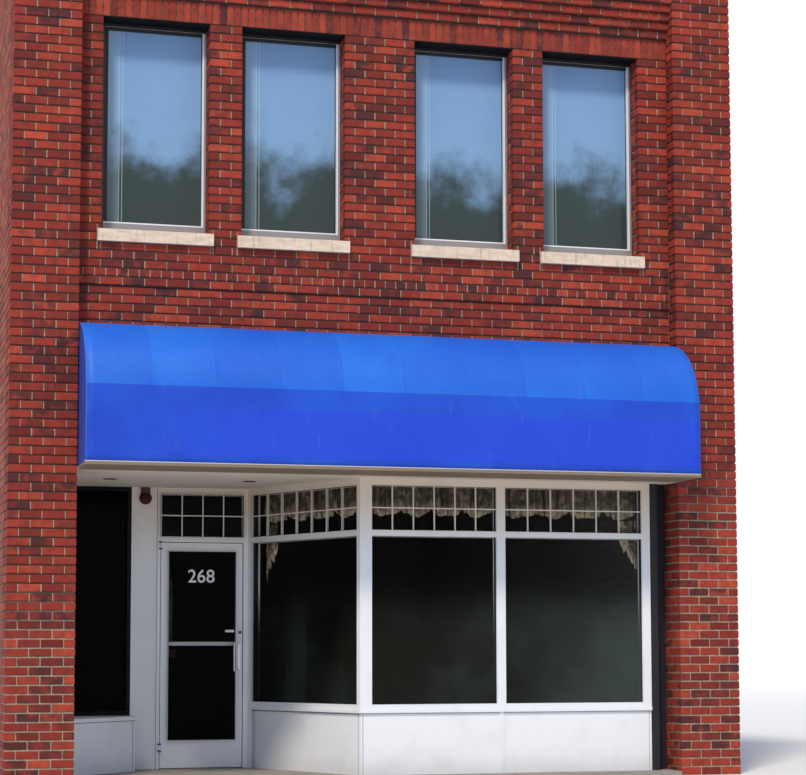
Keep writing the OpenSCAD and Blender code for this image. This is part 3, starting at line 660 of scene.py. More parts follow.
def cut_row(a0, a1, z0, z1, holes):
    """What is left of a brick beside, over or under the openings."""
    left = [(a0, a1, z0, z1)]
    for h0, h1, b0, b1 in holes:
        kept = []
        for p0, p1, y0, y1 in left:
            over = min(y1, b1) - max(y0, b0)
            if over <= 0 or p1 <= h0 or p0 >= h1:
                kept.append((p0, p1, y0, y1))
            else:
                kept += [(p0, h0, y0, y1)] if p0 < h0 else []
                kept += [(h1, p1, y0, y1)] if p1 > h1 else []
                if z1 - z0 - over > LEAST_COURSE:
                    inner = (max(p0, h0), min(p1, h1))
                    kept.append((*inner, y0, b0) if y0 < b0 else (*inner, b1, y1))
        left = kept
    return [r for r in left if r[1] - r[0] > LEAST and r[3] - r[2] > LEAST]


def lay(work, shows, plane, start, end, z0, z1, course, pitch, holes=(), first=0, skip=(0, 0),
        deep=SLIP):
    """Lays running bond on a face. skip is what the corner bricks take of even and odd courses."""
    for k, low, high in courses(z0, z1, course):
        odd = (k + first) % 2
        size = pitch / 2 if odd and skip == (0, 0) else pitch
        for a, b in spans(start + skip[odd], end - skip[odd], size, pitch, LEAST_END):
            for left in cut_row(a, b, low, high, holes):
                work.face(shows, plane, *left, deep)


def roof_side(work, shows, plane, start, end, top, pitch, holes=()):
    """The face of a wall over the roof, from the last whole course under it."""
    lay(work, shows, plane, start, end, ROOF_COURSE * COURSE, top, COURSE, pitch, holes,
        ROOF_COURSE)


def corner(work, x, y, into_x, into_y, top, pitch_x):
    """Corner bricks: turned along the front on even courses and along the side on odd ones."""
    for k, low, high in courses(0, top):
        size = (BRICK_D, SIDE_PITCH - JOINT) if k % 2 else (pitch_x - JOINT, BRICK_D)
        work.add((x, y, low + BED), (x + into_x * size[0], y + into_y * size[1], high - BED))


def grid(bm, us, vs):
    """A flat grid, and the place of each of its vertices on the lines us and vs."""
    bmesh.ops.create_grid(bm, x_segments=len(us) - 1, y_segments=len(vs) - 1, size=0.5)
    return {v: (us[round((v.co.x + 0.5) * (len(us) - 1))],
                vs[round((v.co.y + 0.5) * (len(vs) - 1))]) for v in bm.verts}


def pull(bm, way):
    """Makes a solid of a sheet by pulling it along a vector."""
    pulled = bmesh.ops.extrude_face_region(bm, geom=bm.faces[:])
    bmesh.ops.translate(bm, vec=way, verts=[v for v in pulled["geom"]
                                            if isinstance(v, bmesh.types.BMVert)])
    bmesh.ops.recalc_face_normals(bm, faces=bm.faces[:])


def backing(name, low, high, finishes, holes=(), along=0):
    """Mortar body of a wall, with its openings: a sheet of cells, pulled as thick as the wall."""
    cuts = [sorted({low[axis], high[axis], *(h[i] for h in holes), *(h[i + 1] for h in holes)})
            for axis, i in ((along, 0), (2, 2))]
    across = 1 - along
    bm = bmesh.new()
    for v, (a, z) in grid(bm, *cuts).items():
        v.co[along], v.co[across], v.co.z = a, low[across], z
    gone = [f for f in bm.faces for middle in [f.calc_center_median()] if any(
        h[0] < middle[along] < h[1] and h[2] < middle.z < h[3] for h in holes)]
    bmesh.ops.delete(bm, geom=gone, context="FACES")
    way = Vector((0, 0, 0))
    way[across] = high[across] - low[across]
    pull(bm, way)
    if len(finishes) > 1:
        for f in bm.faces:
            middle = f.calc_center_median()
            f.material_index = int(abs(middle.x) <= ROOM_X + 0.001 and middle.z < ROOF_Z
                                   and WALL_IN - 0.001 <= middle.y <= REAR_IN + RECESS + 0.001)
    return piece(name, bm, finishes, slot="concrete")


# The dark of the joints mottles the mortar and is the painted shade in its raked joints
LIME, MORTAR_MOTTLE_AND_SHADE = rgb(200, 184, 160), rgb(46, 24, 24)
PALE_JOINT = mortar("cream mortar", rgb(204, 190, 166), MORTAR_MOTTLE_AND_SHADE, 0.0, COURSE, 0.95, 2.0)
GREY_JOINT = mortar("grey mortar", rgb(158, 148, 136), rgb(96, 84, 76), 0.0, COURSE, 0.3)
WALL_COURSES, SILL_COURSE = 31, 6
WALL_COURSE = (HEAD_Z - BAND_Z) / WALL_COURSES
WALL_JOINT = mortar("cream mortar of the upper wall", LIME, MORTAR_MOTTLE_AND_SHADE, BAND_Z, WALL_COURSE, 0.95,
                    upright_from=HEAD_Z)


def pier(side):
    """A brick pier: stretchers on its face, wrapped round both corners.

    Where less than half a brick is left beside the party wall, that wall's brick reaches over.
    """
    name = "left_pier" if side < 0 else "right_pier"
    x0, x1 = (SIDE_L, BAY_L) if side < 0 else (BAY_R, SIDE_R)
    work = Brickwork(0.26)
    corner(work, x0, FRONT_Y, 1, 1, TOP_Z, PIER_PITCH)
    corner(work, x1, FRONT_Y, -1, 1, TOP_Z, PIER_PITCH)
    lay(work, "front", FRONT_Y, x0, x1, 0, TOP_Z, COURSE, PIER_PITCH,
        skip=(PIER_PITCH, PIER_PITCH / 2), deep=THICK_SLIP)
    for shows, plane in (("left", x0), ("right", x1)):
        outer = (side < 0) == (shows == "left")
        for k, low, high in courses(0, TOP_Z):
            turned = SIDE_PITCH * (1 + k % 2) / 2
            for a, b in spans(FRONT_Y + turned, PIER_BACK, SIDE_PITCH, SIDE_PITCH):
                bonded = outer and PIER_BACK - a < SIDE_PITCH / 2 and low < SIDE_TOP
                if b - a > 0.03 and not bonded:
                    work.face(shows, plane, a, b, low, high, THICK_SLIP)
    side_wall = (x0 - 1, -ROOM_X) if side < 0 else (ROOM_X, x1 + 1)
    roof_side(work, "back", PIER_BACK, x0, x1, TOP_Z, PIER_PITCH,
              [(*side_wall, 0, SIDE_TOP + 0.075)])
    work.done(name + "_bricks", RED_BRICK, slot="red_brick", node=name)
    backing(name + "_mortar", (x0 + RECESS, FRONT_Y + RECESS, 0),
            (x1 - RECESS, PIER_BACK - RECESS, TOP_Z), [PALE_JOINT])


def party_wall(side):
    """A side wall of common brick, bonded into the pier and the rear wall."""
    name = "left_party_wall" if side < 0 else "right_party_wall"
    shows, plane = ("left", SIDE_L) if side < 0 else ("right", SIDE_R)
    inward, inner = ("right", -ROOM_X) if side < 0 else ("left", ROOM_X)
    work = Brickwork(0.12)
    corner(work, plane, BACK_Y, -side, -1, SIDE_TOP, REAR_PITCH)
    for k, low, high in courses(0, SIDE_TOP):
        turned = SIDE_PITCH * (1 + k % 2) / 2
        for a, b in spans(FRONT_Y + turned, BACK_Y - turned, SIDE_PITCH, SIDE_PITCH):
            if b > PIER_BACK + 0.03:
                start = a if b > PIER_BACK + SIDE_PITCH / 2 else PIER_BACK
                work.face(shows, plane, start, b, low, high)
    roof_side(work, inward, inner, WALL_IN, REAR_IN, SIDE_TOP, SIDE_PITCH)
    work.done(name + "_bricks", COMMON_BRICK, slot="common_brick", node=name)
    x = sorted((plane - side * RECESS, inner + side * RECESS))
    backing(name + "_mortar", (x[0], PIER_BACK - RECESS, 0), (x[1], BACK_Y - RECESS, SIDE_TOP),
            [GREY_JOINT, PLASTER], along=1)


def soldiers(work, x, wide, count, y0, y1, z0, z1, joint=JOINT):
    """Bricks on end, side by side."""
    unit = wide / count
    for i in range(count):
        work.add((x + i * unit + joint, y0, z0), (x + (i + 1) * unit - joint, y1, z1))


def jambs(work, x, wide, face, into, z0, z1, depth=0.27):
    """Bricks that show in both sides of an opening, into the wall from its face."""
    count = round((z1 - z0) / 0.0815)
    course = (z1 - z0) / count
    for edge, way in ((x, 1), (x + wide, -1)):
        for k in range(count):
            low, high = z0 + k * course + BED, z0 + (k + 1) * course - BED
            ends = [0.034, 0.1, 0.2, depth] if k % 2 else [0.034, 0.16, depth]
            for d0, d1 in zip(ends, ends[1:]):
                work.add((edge, face + into * (d0 + JOINT), low),
                         (edge - way * 0.05, face + into * (d1 - 0.002), high))


def rear_wall():
    """The rear wall in two storeys, with soldier bricks over its windows and door."""
    openings = [*REAR_HOLES, REAR_DOOR]
    holes = [(x, x + w, z - SILL_H, z + h + SOLDIER_H) for x, z, w, h in openings]
    first = round(FLOOR_Z / COURSE)
    split = first * COURSE
    for name, z0, z1, k, inner, low, high in (
            ("rear_lower_wall", 0, split, 0, REAR_IN, 0, FLOOR_Z),
            ("rear_upper_wall", split, SIDE_TOP, first, REAR_IN + RECESS, FLOOR_Z, SIDE_TOP)):
        work = Brickwork(0.12)
        lay(work, "back", BACK_Y, SIDE_L, SIDE_R, z0, z1, COURSE, REAR_PITCH, holes, k,
            (REAR_PITCH, REAR_PITCH / 2))
        for x, z, w, h in openings:
            head = z + h
            if z0 < head < z1:
                soldiers(work, x, w, round(w / SOLDIER_W), BACK_Y - 0.1, BACK_Y, head + 0.002,
                         head + SOLDIER_H - JOINT)
                jambs(work, x, w, BACK_Y, -1, max(z, SLAB_Z), head)
        if z1 > ROOF_Z:
            roof_side(work, "front", REAR_IN, -ROOM_X, ROOM_X, SIDE_TOP, SIDE_PITCH)
        work.done(name + "_bricks", COMMON_BRICK, slot="common_brick", node=name)
        gaps = [(x - RECESS, x + w + RECESS, max(z - SILL_H, SLAB_Z), z + h)
                for x, z, w, h in openings if z0 <= z < z1]
        backing(name + "_mortar", (-ROOM_X - RECESS, inner, low),
                (ROOM_X + RECESS, BACK_Y - RECESS, high), [GREY_JOINT, PLASTER], gaps)


def front_wall():
    """The upper front wall: running bond, one course of headers, and panels between windows."""
    work = Brickwork(0.3)
    sills = [(x - SILL_EAR, x + WINDOW_W + SILL_EAR, WINDOW_Z - SILL_H, WINDOW_Z)
             for x in WINDOW_LEFT]
    pitch = BAY_W / 28.5
    lay(work, "front", STRIP_Y, BAY_L, BAY_R, BAND_Z - 7 * WALL_COURSE, BAND_Z, WALL_COURSE,
        pitch, first=1)
    for k in range(SILL_COURSE):
        low = BAND_Z + k * WALL_COURSE
        lay(work, "front", WALL_Y, BAY_L, BAY_R, low, low + WALL_COURSE, WALL_COURSE,
            pitch / 2 if k == 1 else pitch, sills, first=k, deep=THICK_SLIP)
    panels = [BAY_L, *(e for x in WINDOW_LEFT for e in (x, x + WINDOW_W)), BAY_R]
    for left, right in zip(panels[::2], panels[1::2]):
        unit = (right - left) / max(2, round((right - left) / 0.1016))
        for k in range(SILL_COURSE, WALL_COURSES):
            low = BAND_Z + k * WALL_COURSE
            for a, b in spans(left, right, unit if k % 2 else 2 * unit, 2 * unit):
                for r in cut_row(a, b, low, low + WALL_COURSE, sills if k == SILL_COURSE else ()):
                    joints = JOINT * (r[0] > left + 0.01), JOINT * (r[1] < right - 0.01)
                    work.face("front", WALL_Y, *r, BRICK_D, joints)
    for x in WINDOW_LEFT:
        jambs(work, x, WINDOW_W, WALL_Y + 0.07, 1, WINDOW_Z, HEAD_Z, 0.2)
    work.done("front_wall_bricks", RED_BRICK, slot="red_brick", node="front_wall")
    holes = [(x - RECESS, x + WINDOW_W + RECESS, WINDOW_Z - SILL_H, HEAD_Z) for x in WINDOW_LEFT]
    for name, y, z0, z1, gaps in (("front_wall_mortar", WALL_Y, BAND_Z, CORBEL_Z, holes),
                                  ("front_strip_mortar", STRIP_Y, BEAM_TOP, BAND_Z, ())):
        backing(name, (BAY_L, y + RECESS, z0), (BAY_R, WALL_IN, z1), [WALL_JOINT, PLASTER], gaps)
    upright = Brickwork(0.15)
    soldiers(upright, BAY_L, BAY_W, 85, WALL_Y, WALL_Y + 0.1, HEAD_Z + 0.003,
             CORBEL_Z - 0.004, 0.004)
    upright.done("soldier_course", SOLDIER, slot="red_brick")


def parapet():
    """Stepped courses, and the plain brickwork over them, flush with the piers."""
    work = Brickwork(0.3)
    steps, course = 5, NOMINAL_COURSE
    step = (WALL_Y - FRONT_Y) / steps
    pitch = BAY_W / 28
    for i in range(1, steps + 1):
        low = CORBEL_Z + (i - 1) * course
        lay(work, "front", WALL_Y - i * step, BAY_L, BAY_R, low, low + course, course, pitch,
            first=i, deep=0.098)
    base = CORBEL_Z + steps * course
    tall = (TOP_Z - base) / 9
    lay(work, "front", FRONT_Y, BAY_L, BAY_R, base, TOP_Z, tall, pitch, deep=THICK_SLIP)
    roof_side(work, "back", PIER_BACK, BAY_L, BAY_R, TOP_Z, pitch)
    work.done("parapet_bricks", RED_BRICK, slot="red_brick", node="parapet")
    outline = [(PIER_BACK - RECESS, CORBEL_Z), (PIER_BACK - RECESS, TOP_Z),
               (FRONT_Y + RECESS, TOP_Z)]
    for i in range(steps, 0, -1):
        y = WALL_Y - i * step + RECESS
        low = CORBEL_Z + (i - 1) * course + 0.022
        outline += [(y, low), (y + step, low)] if i > 1 else [(y, CORBEL_Z)]
    bm = bmesh.new()
    bm.faces.new([bm.verts.new((BAY_L, y, z)) for y, z in outline])
    pull(bm, (BAY_W, 0, 0))
    for f in bm.faces:
        f.material_index = int(f.calc_center_median().z > base)
    joints = [mortar("cream mortar of " + part, LIME, MORTAR_MOTTLE_AND_SHADE, z, high, 0.95)
              for part, z, high in (("the steps", CORBEL_Z, course), ("the parapet", base, tall))]
    piece("parapet_mortar", bm, joints, slot="concrete")


for end in (-1, 1):
    pier(end)
    party_wall(end)
rear_wall()
front_wall()
parapet()

# Storefront joinery

CLEAR, BEAD = 0.0002, 0.009


def wall_line(x, y, run, rise):
    """A frame on the plan, at x and y, whose first axis goes run to the right and rise inward."""
    return Matrix.Translation((x, y, 0)) @ Matrix.Rotation(math.atan2(rise, run), 4, "Z")


SPLAY_LEN = math.hypot(POST_L - SPLAY_X, ENTRY_Y - SHOP_Y)
SPLAY = wall_line(SPLAY_X, ENTRY_Y, POST_L - SPLAY_X, SHOP_Y - ENTRY_Y)
BAYS = [(BAY_1, MULLION), (MULLION + MULLION_W, END_POST)]
SPLAY_PANE = (0.0483, SPLAY_LEN - 0.0503)


def dress_window(x0, x1, y, lights, turn=None, main=True):
    """Beads and gaskets round the panes, and the bars of the small panes over the transom."""
    for work in (beads, gaskets, muntins):
        work.turn = turn
    face, back = y + GLASS_IN, y + GLASS_IN + GLASS_T
    rows = ([(GLASS_Z, BAR_Z)] if main else []) + [(BAR_TOP, HEAD_RAIL_Z)]
    for z0, z1 in rows:
        beads.ring(x0, x1, z0, z1, face - BEAD, face - 0.002, 0.005, 0.0015)
        gaskets.ring(x0, x1, z0, z1, face - 0.002, face - CLEAR, 0.01, 0.0005)
        gaskets.ring(x0, x1, z0, z1, back + CLEAR, back + 0.052, 0.004, 0.0008)
        beads.ring(x0, x1, z0, z1, back + 0.054, y + FRAME_D - 0.001, BEAD, 0.002)
    half, middle = 0.005, (BAR_TOP + HEAD_RAIL_Z) / 2
    for y0, y1 in ((face - BEAD, face - CLEAR), (back + CLEAR, back + BEAD)):
        for i in range(1, lights):
            x = x0 + (x1 - x0) * i / lights
            muntins.bar((x - half, y0, BAR_TOP), (x + half, y1, HEAD_RAIL_Z), 0.002)
        muntins.bar((x0, y0 + 0.001, middle - half), (x1, y1 - 0.001, middle + half), 0.002)


beads, gaskets, muntins = Joinery(), Joinery(), Joinery()
for x0, x1 in BAYS:
    dress_window(x0, x1, SHOP_Y, 6)
dress_window(*SPLAY_PANE, 0, 7, SPLAY)
dress_window(DOOR_L, DOOR_R, ENTRY_Y, 4, main=False)
beads.done("glazing_beads", WHITE, slot="white_frame")
gaskets.done("glazing_gaskets", GASKET, slot="black_frame")
muntins.done("small_pane_bars", WHITE, slot="white_frame")

# Open seams between the painted boards of the bases: thin black strips, flush with the boards, as
# painted shade in the gaps

seams, WIDE_SEAM = Joinery(), 0.005


def seam(x0, x1, z0, z1, face):
    seams.bar((x0, face - 0.0006, z0), (x1, face + 0.001, z1), CLEAR)


def upright(x, face, wide=WIDE_SEAM, top=BOARD_Z - 0.001):
    seam(x - wide / 2, x + wide / 2, SLAB_Z + 0.001, top, face)


def level(x0, x1, z, face, wide=WIDE_SEAM):
    seam(x0, x1, z - wide / 2, z + wide / 2, face)


PANEL_IN, MIDDLE = 0.012, MULLION + MULLION_W / 2
for x, wide in ((POST_L + 0.03, 0.004), (MIDDLE - 0.011, 0.0025), (MIDDLE + 0.011, 0.0025),
                (POST_R - 0.024, 0.003)):
    upright(x, SHOP_Y + PANEL_IN, wide)
# Painted shade: a black line just under the sill board
level(POST_L + 0.005, POST_R - 0.001, BOARD_Z - 0.009, SHOP_Y + PANEL_IN, 0.004)
seams.turn = SPLAY
for x, wide in ((0.0505, WIDE_SEAM), (0.084, WIDE_SEAM), (SPLAY_LEN - 0.042, 0.003)):
    upright(x, PANEL_IN, wide)
level(0.0485, SPLAY_LEN - 0.012, BOARD_Z - 0.011, PANEL_IN)
WEDGE = 0.746, 0.74
seams.turn = wall_line(BAY_L, FRONT_Y + 0.785, *WEDGE)
wedge_len, wedge_top = math.hypot(*WEDGE), LEFT_TOP - 0.033
upright(wedge_len - 0.034, 0, top=wedge_top)
level(0.002, wedge_len - 0.003, wedge_top - 0.006, 0)
seams.turn = None
# Painted shade in the gap beside the door jamb, up to the soffit
upright(PANEL_R + 0.001, ENTRY_Y, 0.004, SOFFIT_Z - 0.002)
seams.done("board_seams", GASKET, slot="black_frame")

display, EDGE = Joinery(), 0.032
y = ENTRY_Y + GLASS_IN
display.ring(BAY_L + EDGE, DISPLAY_R - EDGE, LEFT_TOP + EDGE, SOFFIT_Z - EDGE, y - 0.012,
             y - CLEAR, 0.014, 0.002)
display.done("display_beads", BLACK, slot="black_frame")

# Door fittings

LEAF_L, LEAF_R = DOOR_L + 0.007, DOOR_R - 0.008
LEAF_Y, LEAF_T, STILE = ENTRY_Y + 0.005, 0.045, 0.068
GAP, FOOT_RAIL, HEAD_RAIL = 0.007, 0.265, 0.081
PANE_Z, PANE_TOP = SLAB_Z + GAP + FOOT_RAIL, BAR_Z - GAP - HEAD_RAIL
PANE_Y = LEAF_Y + (LEAF_T - GLASS_T) / 2
pane = (LEAF_L + STILE, LEAF_R - STILE, PANE_Z, PANE_TOP)
stops, seals = Joinery(), Joinery()
stops.ring(*pane, LEAF_Y + 0.006, PANE_Y - 0.003, 0.004, 0.0015)
stops.ring(*pane, PANE_Y + GLASS_T + 0.003, LEAF_Y + LEAF_T - 0.004, 0.004, 0.0015)
for y in (PANE_Y - 0.003, PANE_Y + GLASS_T + CLEAR):
    seals.ring(*pane, y, y + 0.0028, 0.01, 0.0008)
stops.done("door_glass_stops", WHITE, body="front_door", slot="white_frame")
seals.done("door_glass_seals", GASKET, body="front_door", slot="black_frame")
TO_FRONT = Matrix.Rotation(math.pi / 2, 4, "X")


def lathe(name, profile, place, finish, turn=0.0, **how):
    """A profile of radius and height, spun about an axis that points out of the front.

    turn swings that axis round on the plan.
    """
    bm = bmesh.new()
    line = [bm.verts.new((r, 0, h)) for r, h in profile]
    edges = [bm.edges.new(pair) for pair in zip(line, line[1:])]
    bmesh.ops.spin(bm, geom=line + edges, cent=(0, 0, 0), axis=(0, 0, 1), angle=math.tau,
                   steps=48, use_merge=True, use_duplicate=False)
    bmesh.ops.remove_doubles(bm, verts=bm.verts[:], dist=1e-6)
    bmesh.ops.recalc_face_normals(bm, faces=bm.faces[:])
    bmesh.ops.transform(bm, verts=bm.verts[:], matrix=Matrix.Translation(place)
                        @ Matrix.Rotation(turn, 4, "Z") @ TO_FRONT)
    return piece(name, bm, finish, smooth=True, slot="steel_fittings", **how)


lathe("door_lock", [(0, 0), (0.014, 0), (0.0155, 0.002), (0.014, 0.005), (0.008, 0.0055),
                    (0.0075, 0.0035), (0, 0.0035)],
      (LEAF_R - 0.0315, LEAF_Y + 0.0005, 1.372), STEEL, body="front_door")
latch = Joinery()
latch.bar((BAY_L + 1.6726, PANE_Y - 0.0016, 1.373), (BAY_L + 1.761, PANE_Y - CLEAR, 1.397), 0.0005)
latch.done("door_latch_plate", WHITE, body="front_door", slot="white_frame")


def number(name, digits, width, height, middle, finish, **how):
    """A plain house number, cut from thin sheet and centred on middle."""
    curve = bpy.data.curves.new(name, "FONT")
    curve.body, curve.size, curve.extrude, curve.offset = digits, 1.0, 0.0006, 0.006
    shape = placed(name + "_outline", curve)
    bpy.context.view_layer.update()
    mesh = bpy.data.meshes.new_from_object(shape.evaluated_get(
        bpy.context.evaluated_depsgraph_get()))
    bpy.data.objects.remove(shape)
    bm = bmesh.new()
    bm.from_mesh(mesh)
    bmesh.ops.remove_doubles(bm, verts=bm.verts[:], dist=1e-5)
    low, high = (Vector([end(v.co[i] for v in bm.verts) for i in range(3)]) for end in (min, max))
    size = (width / (high.x - low.x), height / (high.y - low.y), 1)
    bmesh.ops.translate(bm, vec=-(low + high) / 2, verts=bm.verts[:])
    bmesh.ops.scale(bm, vec=size, verts=bm.verts[:])
    bmesh.ops.transform(bm, matrix=Matrix.Translation(middle) @ TO_FRONT, verts=bm.verts[:])
    return piece(name, bm, finish, **how)


number("door_number", "268", 0.264, 0.13, (BAY_L + 1.4305, PANE_Y - 0.0007, 1.927), WHITE,
       body="front_door", slot="white_frame")

# Upper windows: a slim inner sash, its gasket, black strips of painted shade at the left and the
# head, and the meeting stile behind the glass

sash, gasket_and_shade_strips, lintels = Joinery(), Joinery(), Joinery()
y = WALL_Y + REVEAL + (SASH_D - GLASS_T) / 2
for x in WINDOW_LEFT:
    left, right = x + SASH_W, x + WINDOW_W - SASH_W
    low, top = WINDOW_Z + SASH_FOOT, HEAD_Z - SASH_W
    gasket_and_shade_strips.ring(left, right, low, top, y - 0.004, y - CLEAR, 0.008, 0.0008)
    # Black strips at the left stile and under the head of each pane: painted shade of the reveal
    gasket_and_shade_strips.bar((left, y - 0.03, low), (left + 0.034, y - 0.0045, top), 0.002)
    gasket_and_shade_strips.bar((left + 0.034, y - 0.03, top - 0.029), (right, y - 0.0045, top), 0.002)
    for at in (x + 0.18, x + 0.203):
        sash.bar((at, y + GLASS_T + 0.001, low), (at + 0.01, y + GLASS_T + 0.02, top), 0.002)
    # Black steel lintels under the soldiers; their black also paints the shade under each head
    lintels.bar((x - 0.001, WALL_Y + 0.012, HEAD_Z - 0.006),
                (x + WINDOW_W + 0.001, WALL_Y + REVEAL - 0.001, HEAD_Z + 0.001), 0.001)
lintels.done("window_lintels", BLACK, slot="structural_steel")
y = BACK_Y - REVEAL - (SASH_D - GLASS_T) / 2
for x, z, w, h in REAR_HOLES:
    low, top = z + SASH_W, z + h - SASH_W
    inside = (x + SASH_W, x + w - SASH_W, low, top)
    gasket_and_shade_strips.ring(*inside, y + CLEAR, y + 0.004, 0.012, 0.0008)
    sash.ring(*inside, y + 0.004, y + 0.022, 0.008, 0.002)
    sash.bar((x + w / 2 - 0.02, y + 0.001, low), (x + w / 2 + 0.02, y + 0.024, top), 0.002)
sash.done("window_sashes", WHITE, slot="white_frame")
gasket_and_shade_strips.done("window_gaskets_and_shade_strips", GASKET, slot="black_frame")

# Awning

SOFFIT_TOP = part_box("awning_soffit")[1].z
RADIUS = STRIP_Y - AWNING_Y
SPRING_Z = AWNING_TOP - RADIUS
CLOTH_IN, CANVAS_T = 0.003, 0.002
ARC = (RADIUS - CLOTH_IN) * math.pi / 2
DROP = ARC + SPRING_Z - SOFFIT_TOP


def awning_profile(s):
    """A point of the awning's section and its outward direction, s metres from the wall."""
    radius = RADIUS - CLOTH_IN
    if s < ARC:
        turn = s / radius
        out = Vector((0, -math.sin(turn), math.cos(turn)))
        return Vector((0, STRIP_Y, SPRING_Z)) + out * radius, out
    return Vector((0, AWNING_Y + CLOTH_IN, SPRING_Z - (s - ARC))), Vector((0, -1, 0))


def thicken(made, thick):
    skin = made.modifiers.new("cloth thickness", "SOLIDIFY")
    skin.thickness, skin.offset = thick, 0.0
    return made


def cloth_piece(name, us, vs, point, finish, thick, **how):
    """A cloth piece: a grid whose lines lie at us and vs, shaped by point, with a flat UV map."""
    bm = bmesh.new()
    uv = bm.loops.layers.uv.new("UVMap")
    where = grid(bm, us, vs)
    for f in bm.faces:
        for loop in f.loops:
            loop[uv].uv = where[loop.vert]
    for v, place in where.items():
        v.co = point(*place)
    return thicken(piece(name, bm, finish, smooth=True, **how), thick)


def lines(start, end, pitch, extra=()):
    """Where the lines of a cloth's grid lie: evenly from start to end, and at the extra ones."""
    count = round((end - start) / pitch)
    found = [start + (end - start) * i / count for i in range(count + 1)]
    return sorted({round(x, 5) for x in [*found, *extra] if start <= x <= end})


def cloth_area(made):
    return sum(f.area for f in made.data.polygons)


seams_s = [(RADIUS - CLOTH_IN) * math.acos((z - SPRING_Z) / (RADIUS - CLOTH_IN))
           if z > SPRING_Z else ARC + SPRING_Z - z for z in SEAMS_Z]
seams_x = [BAY_L + BAY_W / PANELS * i for i in range(1, PANELS)]
TAPE, SEAM_RAISE, SAG = 0.011, 0.0002, 0.0006
TAPE_LINES = -TAPE - 0.002, -TAPE, TAPE, TAPE + 0.002
rise_lines, fall_lines = ([at + d for at in seams for d in TAPE_LINES]
                          for seams in (seams_x, seams_s))
BOW_PITCH = (AWNING_R - AWNING_L) / 5


def awning_point(x, s):
    """Sags a little between the bows, and is thicker at the sewn seams."""
    where, out = awning_profile(s)
    between = abs(math.sin(math.pi * (x - AWNING_L) / BOW_PITCH))
    sag = SAG * between * math.sin(math.pi * min(1.0, s / DROP)) ** 0.7
    sewn = TAPE + 0.0005
    across = s < seams_s[0] and min(abs(x - a) for a in seams_x) <= sewn
    along = min(abs(s - a) for a in seams_s) <= sewn
    return Vector((x, 0, 0)) + where + out * (SEAM_RAISE * (across or along) - sag)


cover = cloth_piece("awning_cloth", lines(AWNING_L, AWNING_R, 0.08, rise_lines),
                    lines(0.0, DROP, 0.06, fall_lines), awning_point, CANVAS, CANVAS_T,
                    slot="blue_canvas", node="awning_cover")


def awning_end(side):
    """The closed end of the awning: a panel that is bowed out a little at its middle."""
    x = AWNING_L + CLOTH_IN if side < 0 else AWNING_R - CLOTH_IN
    bm = bmesh.new()
    uv = bm.loops.layers.uv.new("UVMap")
    rim = [awning_profile(s)[0] for s in lines(0.0, DROP, 0.05)]
    rim.append(Vector((0, STRIP_Y, SOFFIT_TOP)))
    middle = Vector((0, STRIP_Y - 0.28, SPRING_Z - 0.05))
    loops = [[bm.verts.new((x - side * 0.004 * (1 - share), *middle.lerp(p, share).yz))
              for p in rim] for share in (1.0, 0.72, 0.44, 0.16)]
    for outer, inner in zip(loops, loops[1:]):
        for i in range(len(rim)):
            j = (i + 1) % len(rim)
            bm.faces.new([outer[i], outer[j], inner[j], inner[i]])
    bm.faces.new(loops[-1])
    for f in bm.faces:
        for loop in f.loops:
            loop[uv].uv = loop.vert.co.yz
    bmesh.ops.recalc_face_normals(bm, faces=bm.faces[:])
    made = thicken(piece("awning_end_" + ("left" if side < 0 else "right"), bm, CANVAS,
                         slot="blue_canvas"), CANVAS_T)
    cloth_area(made)


for end in (-1, 1):
    awning_end(end)

hem = Joinery()
hem.bar((AWNING_L, AWNING_Y, SOFFIT_TOP + 0.0005),
        (AWNING_R, AWNING_Y + 0.0025, SOFFIT_TOP + 0.0095), 0.0008)
hem.bar((AWNING_L, STRIP_Y - 0.012, AWNING_TOP - 0.004),
        (AWNING_R, STRIP_Y - 0.001, AWNING_TOP), 0.001)
hem.done("awning_trim", ALUMINIUM, slot="bare_aluminium")

# Curtain valances

FOLD_W, DRIFT_W, RIPPLE_W = 0.06, 0.31, 0.023


def valance(name, x0, x1, top, low, turn, y, drop_shape, seed):
    """Gathered cloth on a rod: folds that deepen towards its shaped lower edge.

    The cloth's own height is 0 at its hem and negative above it.
    """
    local = random.Random(seed)
    pleats, wander, fine = (local.uniform(0, math.tau) for _ in range(3))
    tall = top - low

    def point(u, height):
        v = 1 + height / tall
        length = tall * drop_shape((u - x0) / (x1 - x0))
        fold = math.sin(math.tau * u / FOLD_W + pleats
                        + 1.3 * math.sin(math.tau * u / DRIFT_W + wander))
        ripple = math.sin(math.tau * u / RIPPLE_W + fine + 4 * v)
        deep = 0.006 + 0.012 * v
        spot = Vector((u, y + 0.025 + deep * fold + 0.002 * ripple,
                       top - length * v - 0.003 * fold * v))
        return turn @ spot if turn else spot
    return cloth_piece(name, lines(x0, x1, 0.0075), lines(-tall, 0.0, 0.0175), point, CURTAIN,
                       0.0012, slot="curtain_cloth")


# How far a curtain hangs, as a share of its drop, at a share of its width


def swag(share):
    return 0.78 + 0.22 * abs(math.sin(math.pi * share * 4)) ** 0.5 - 0.03 * math.cos(share * 40)


def stepped_left(share):
    return 1.0 - 0.55 * share + 0.06 * math.sin(share * 30)


def stepped_right(share):
    return stepped_left(1 - share)


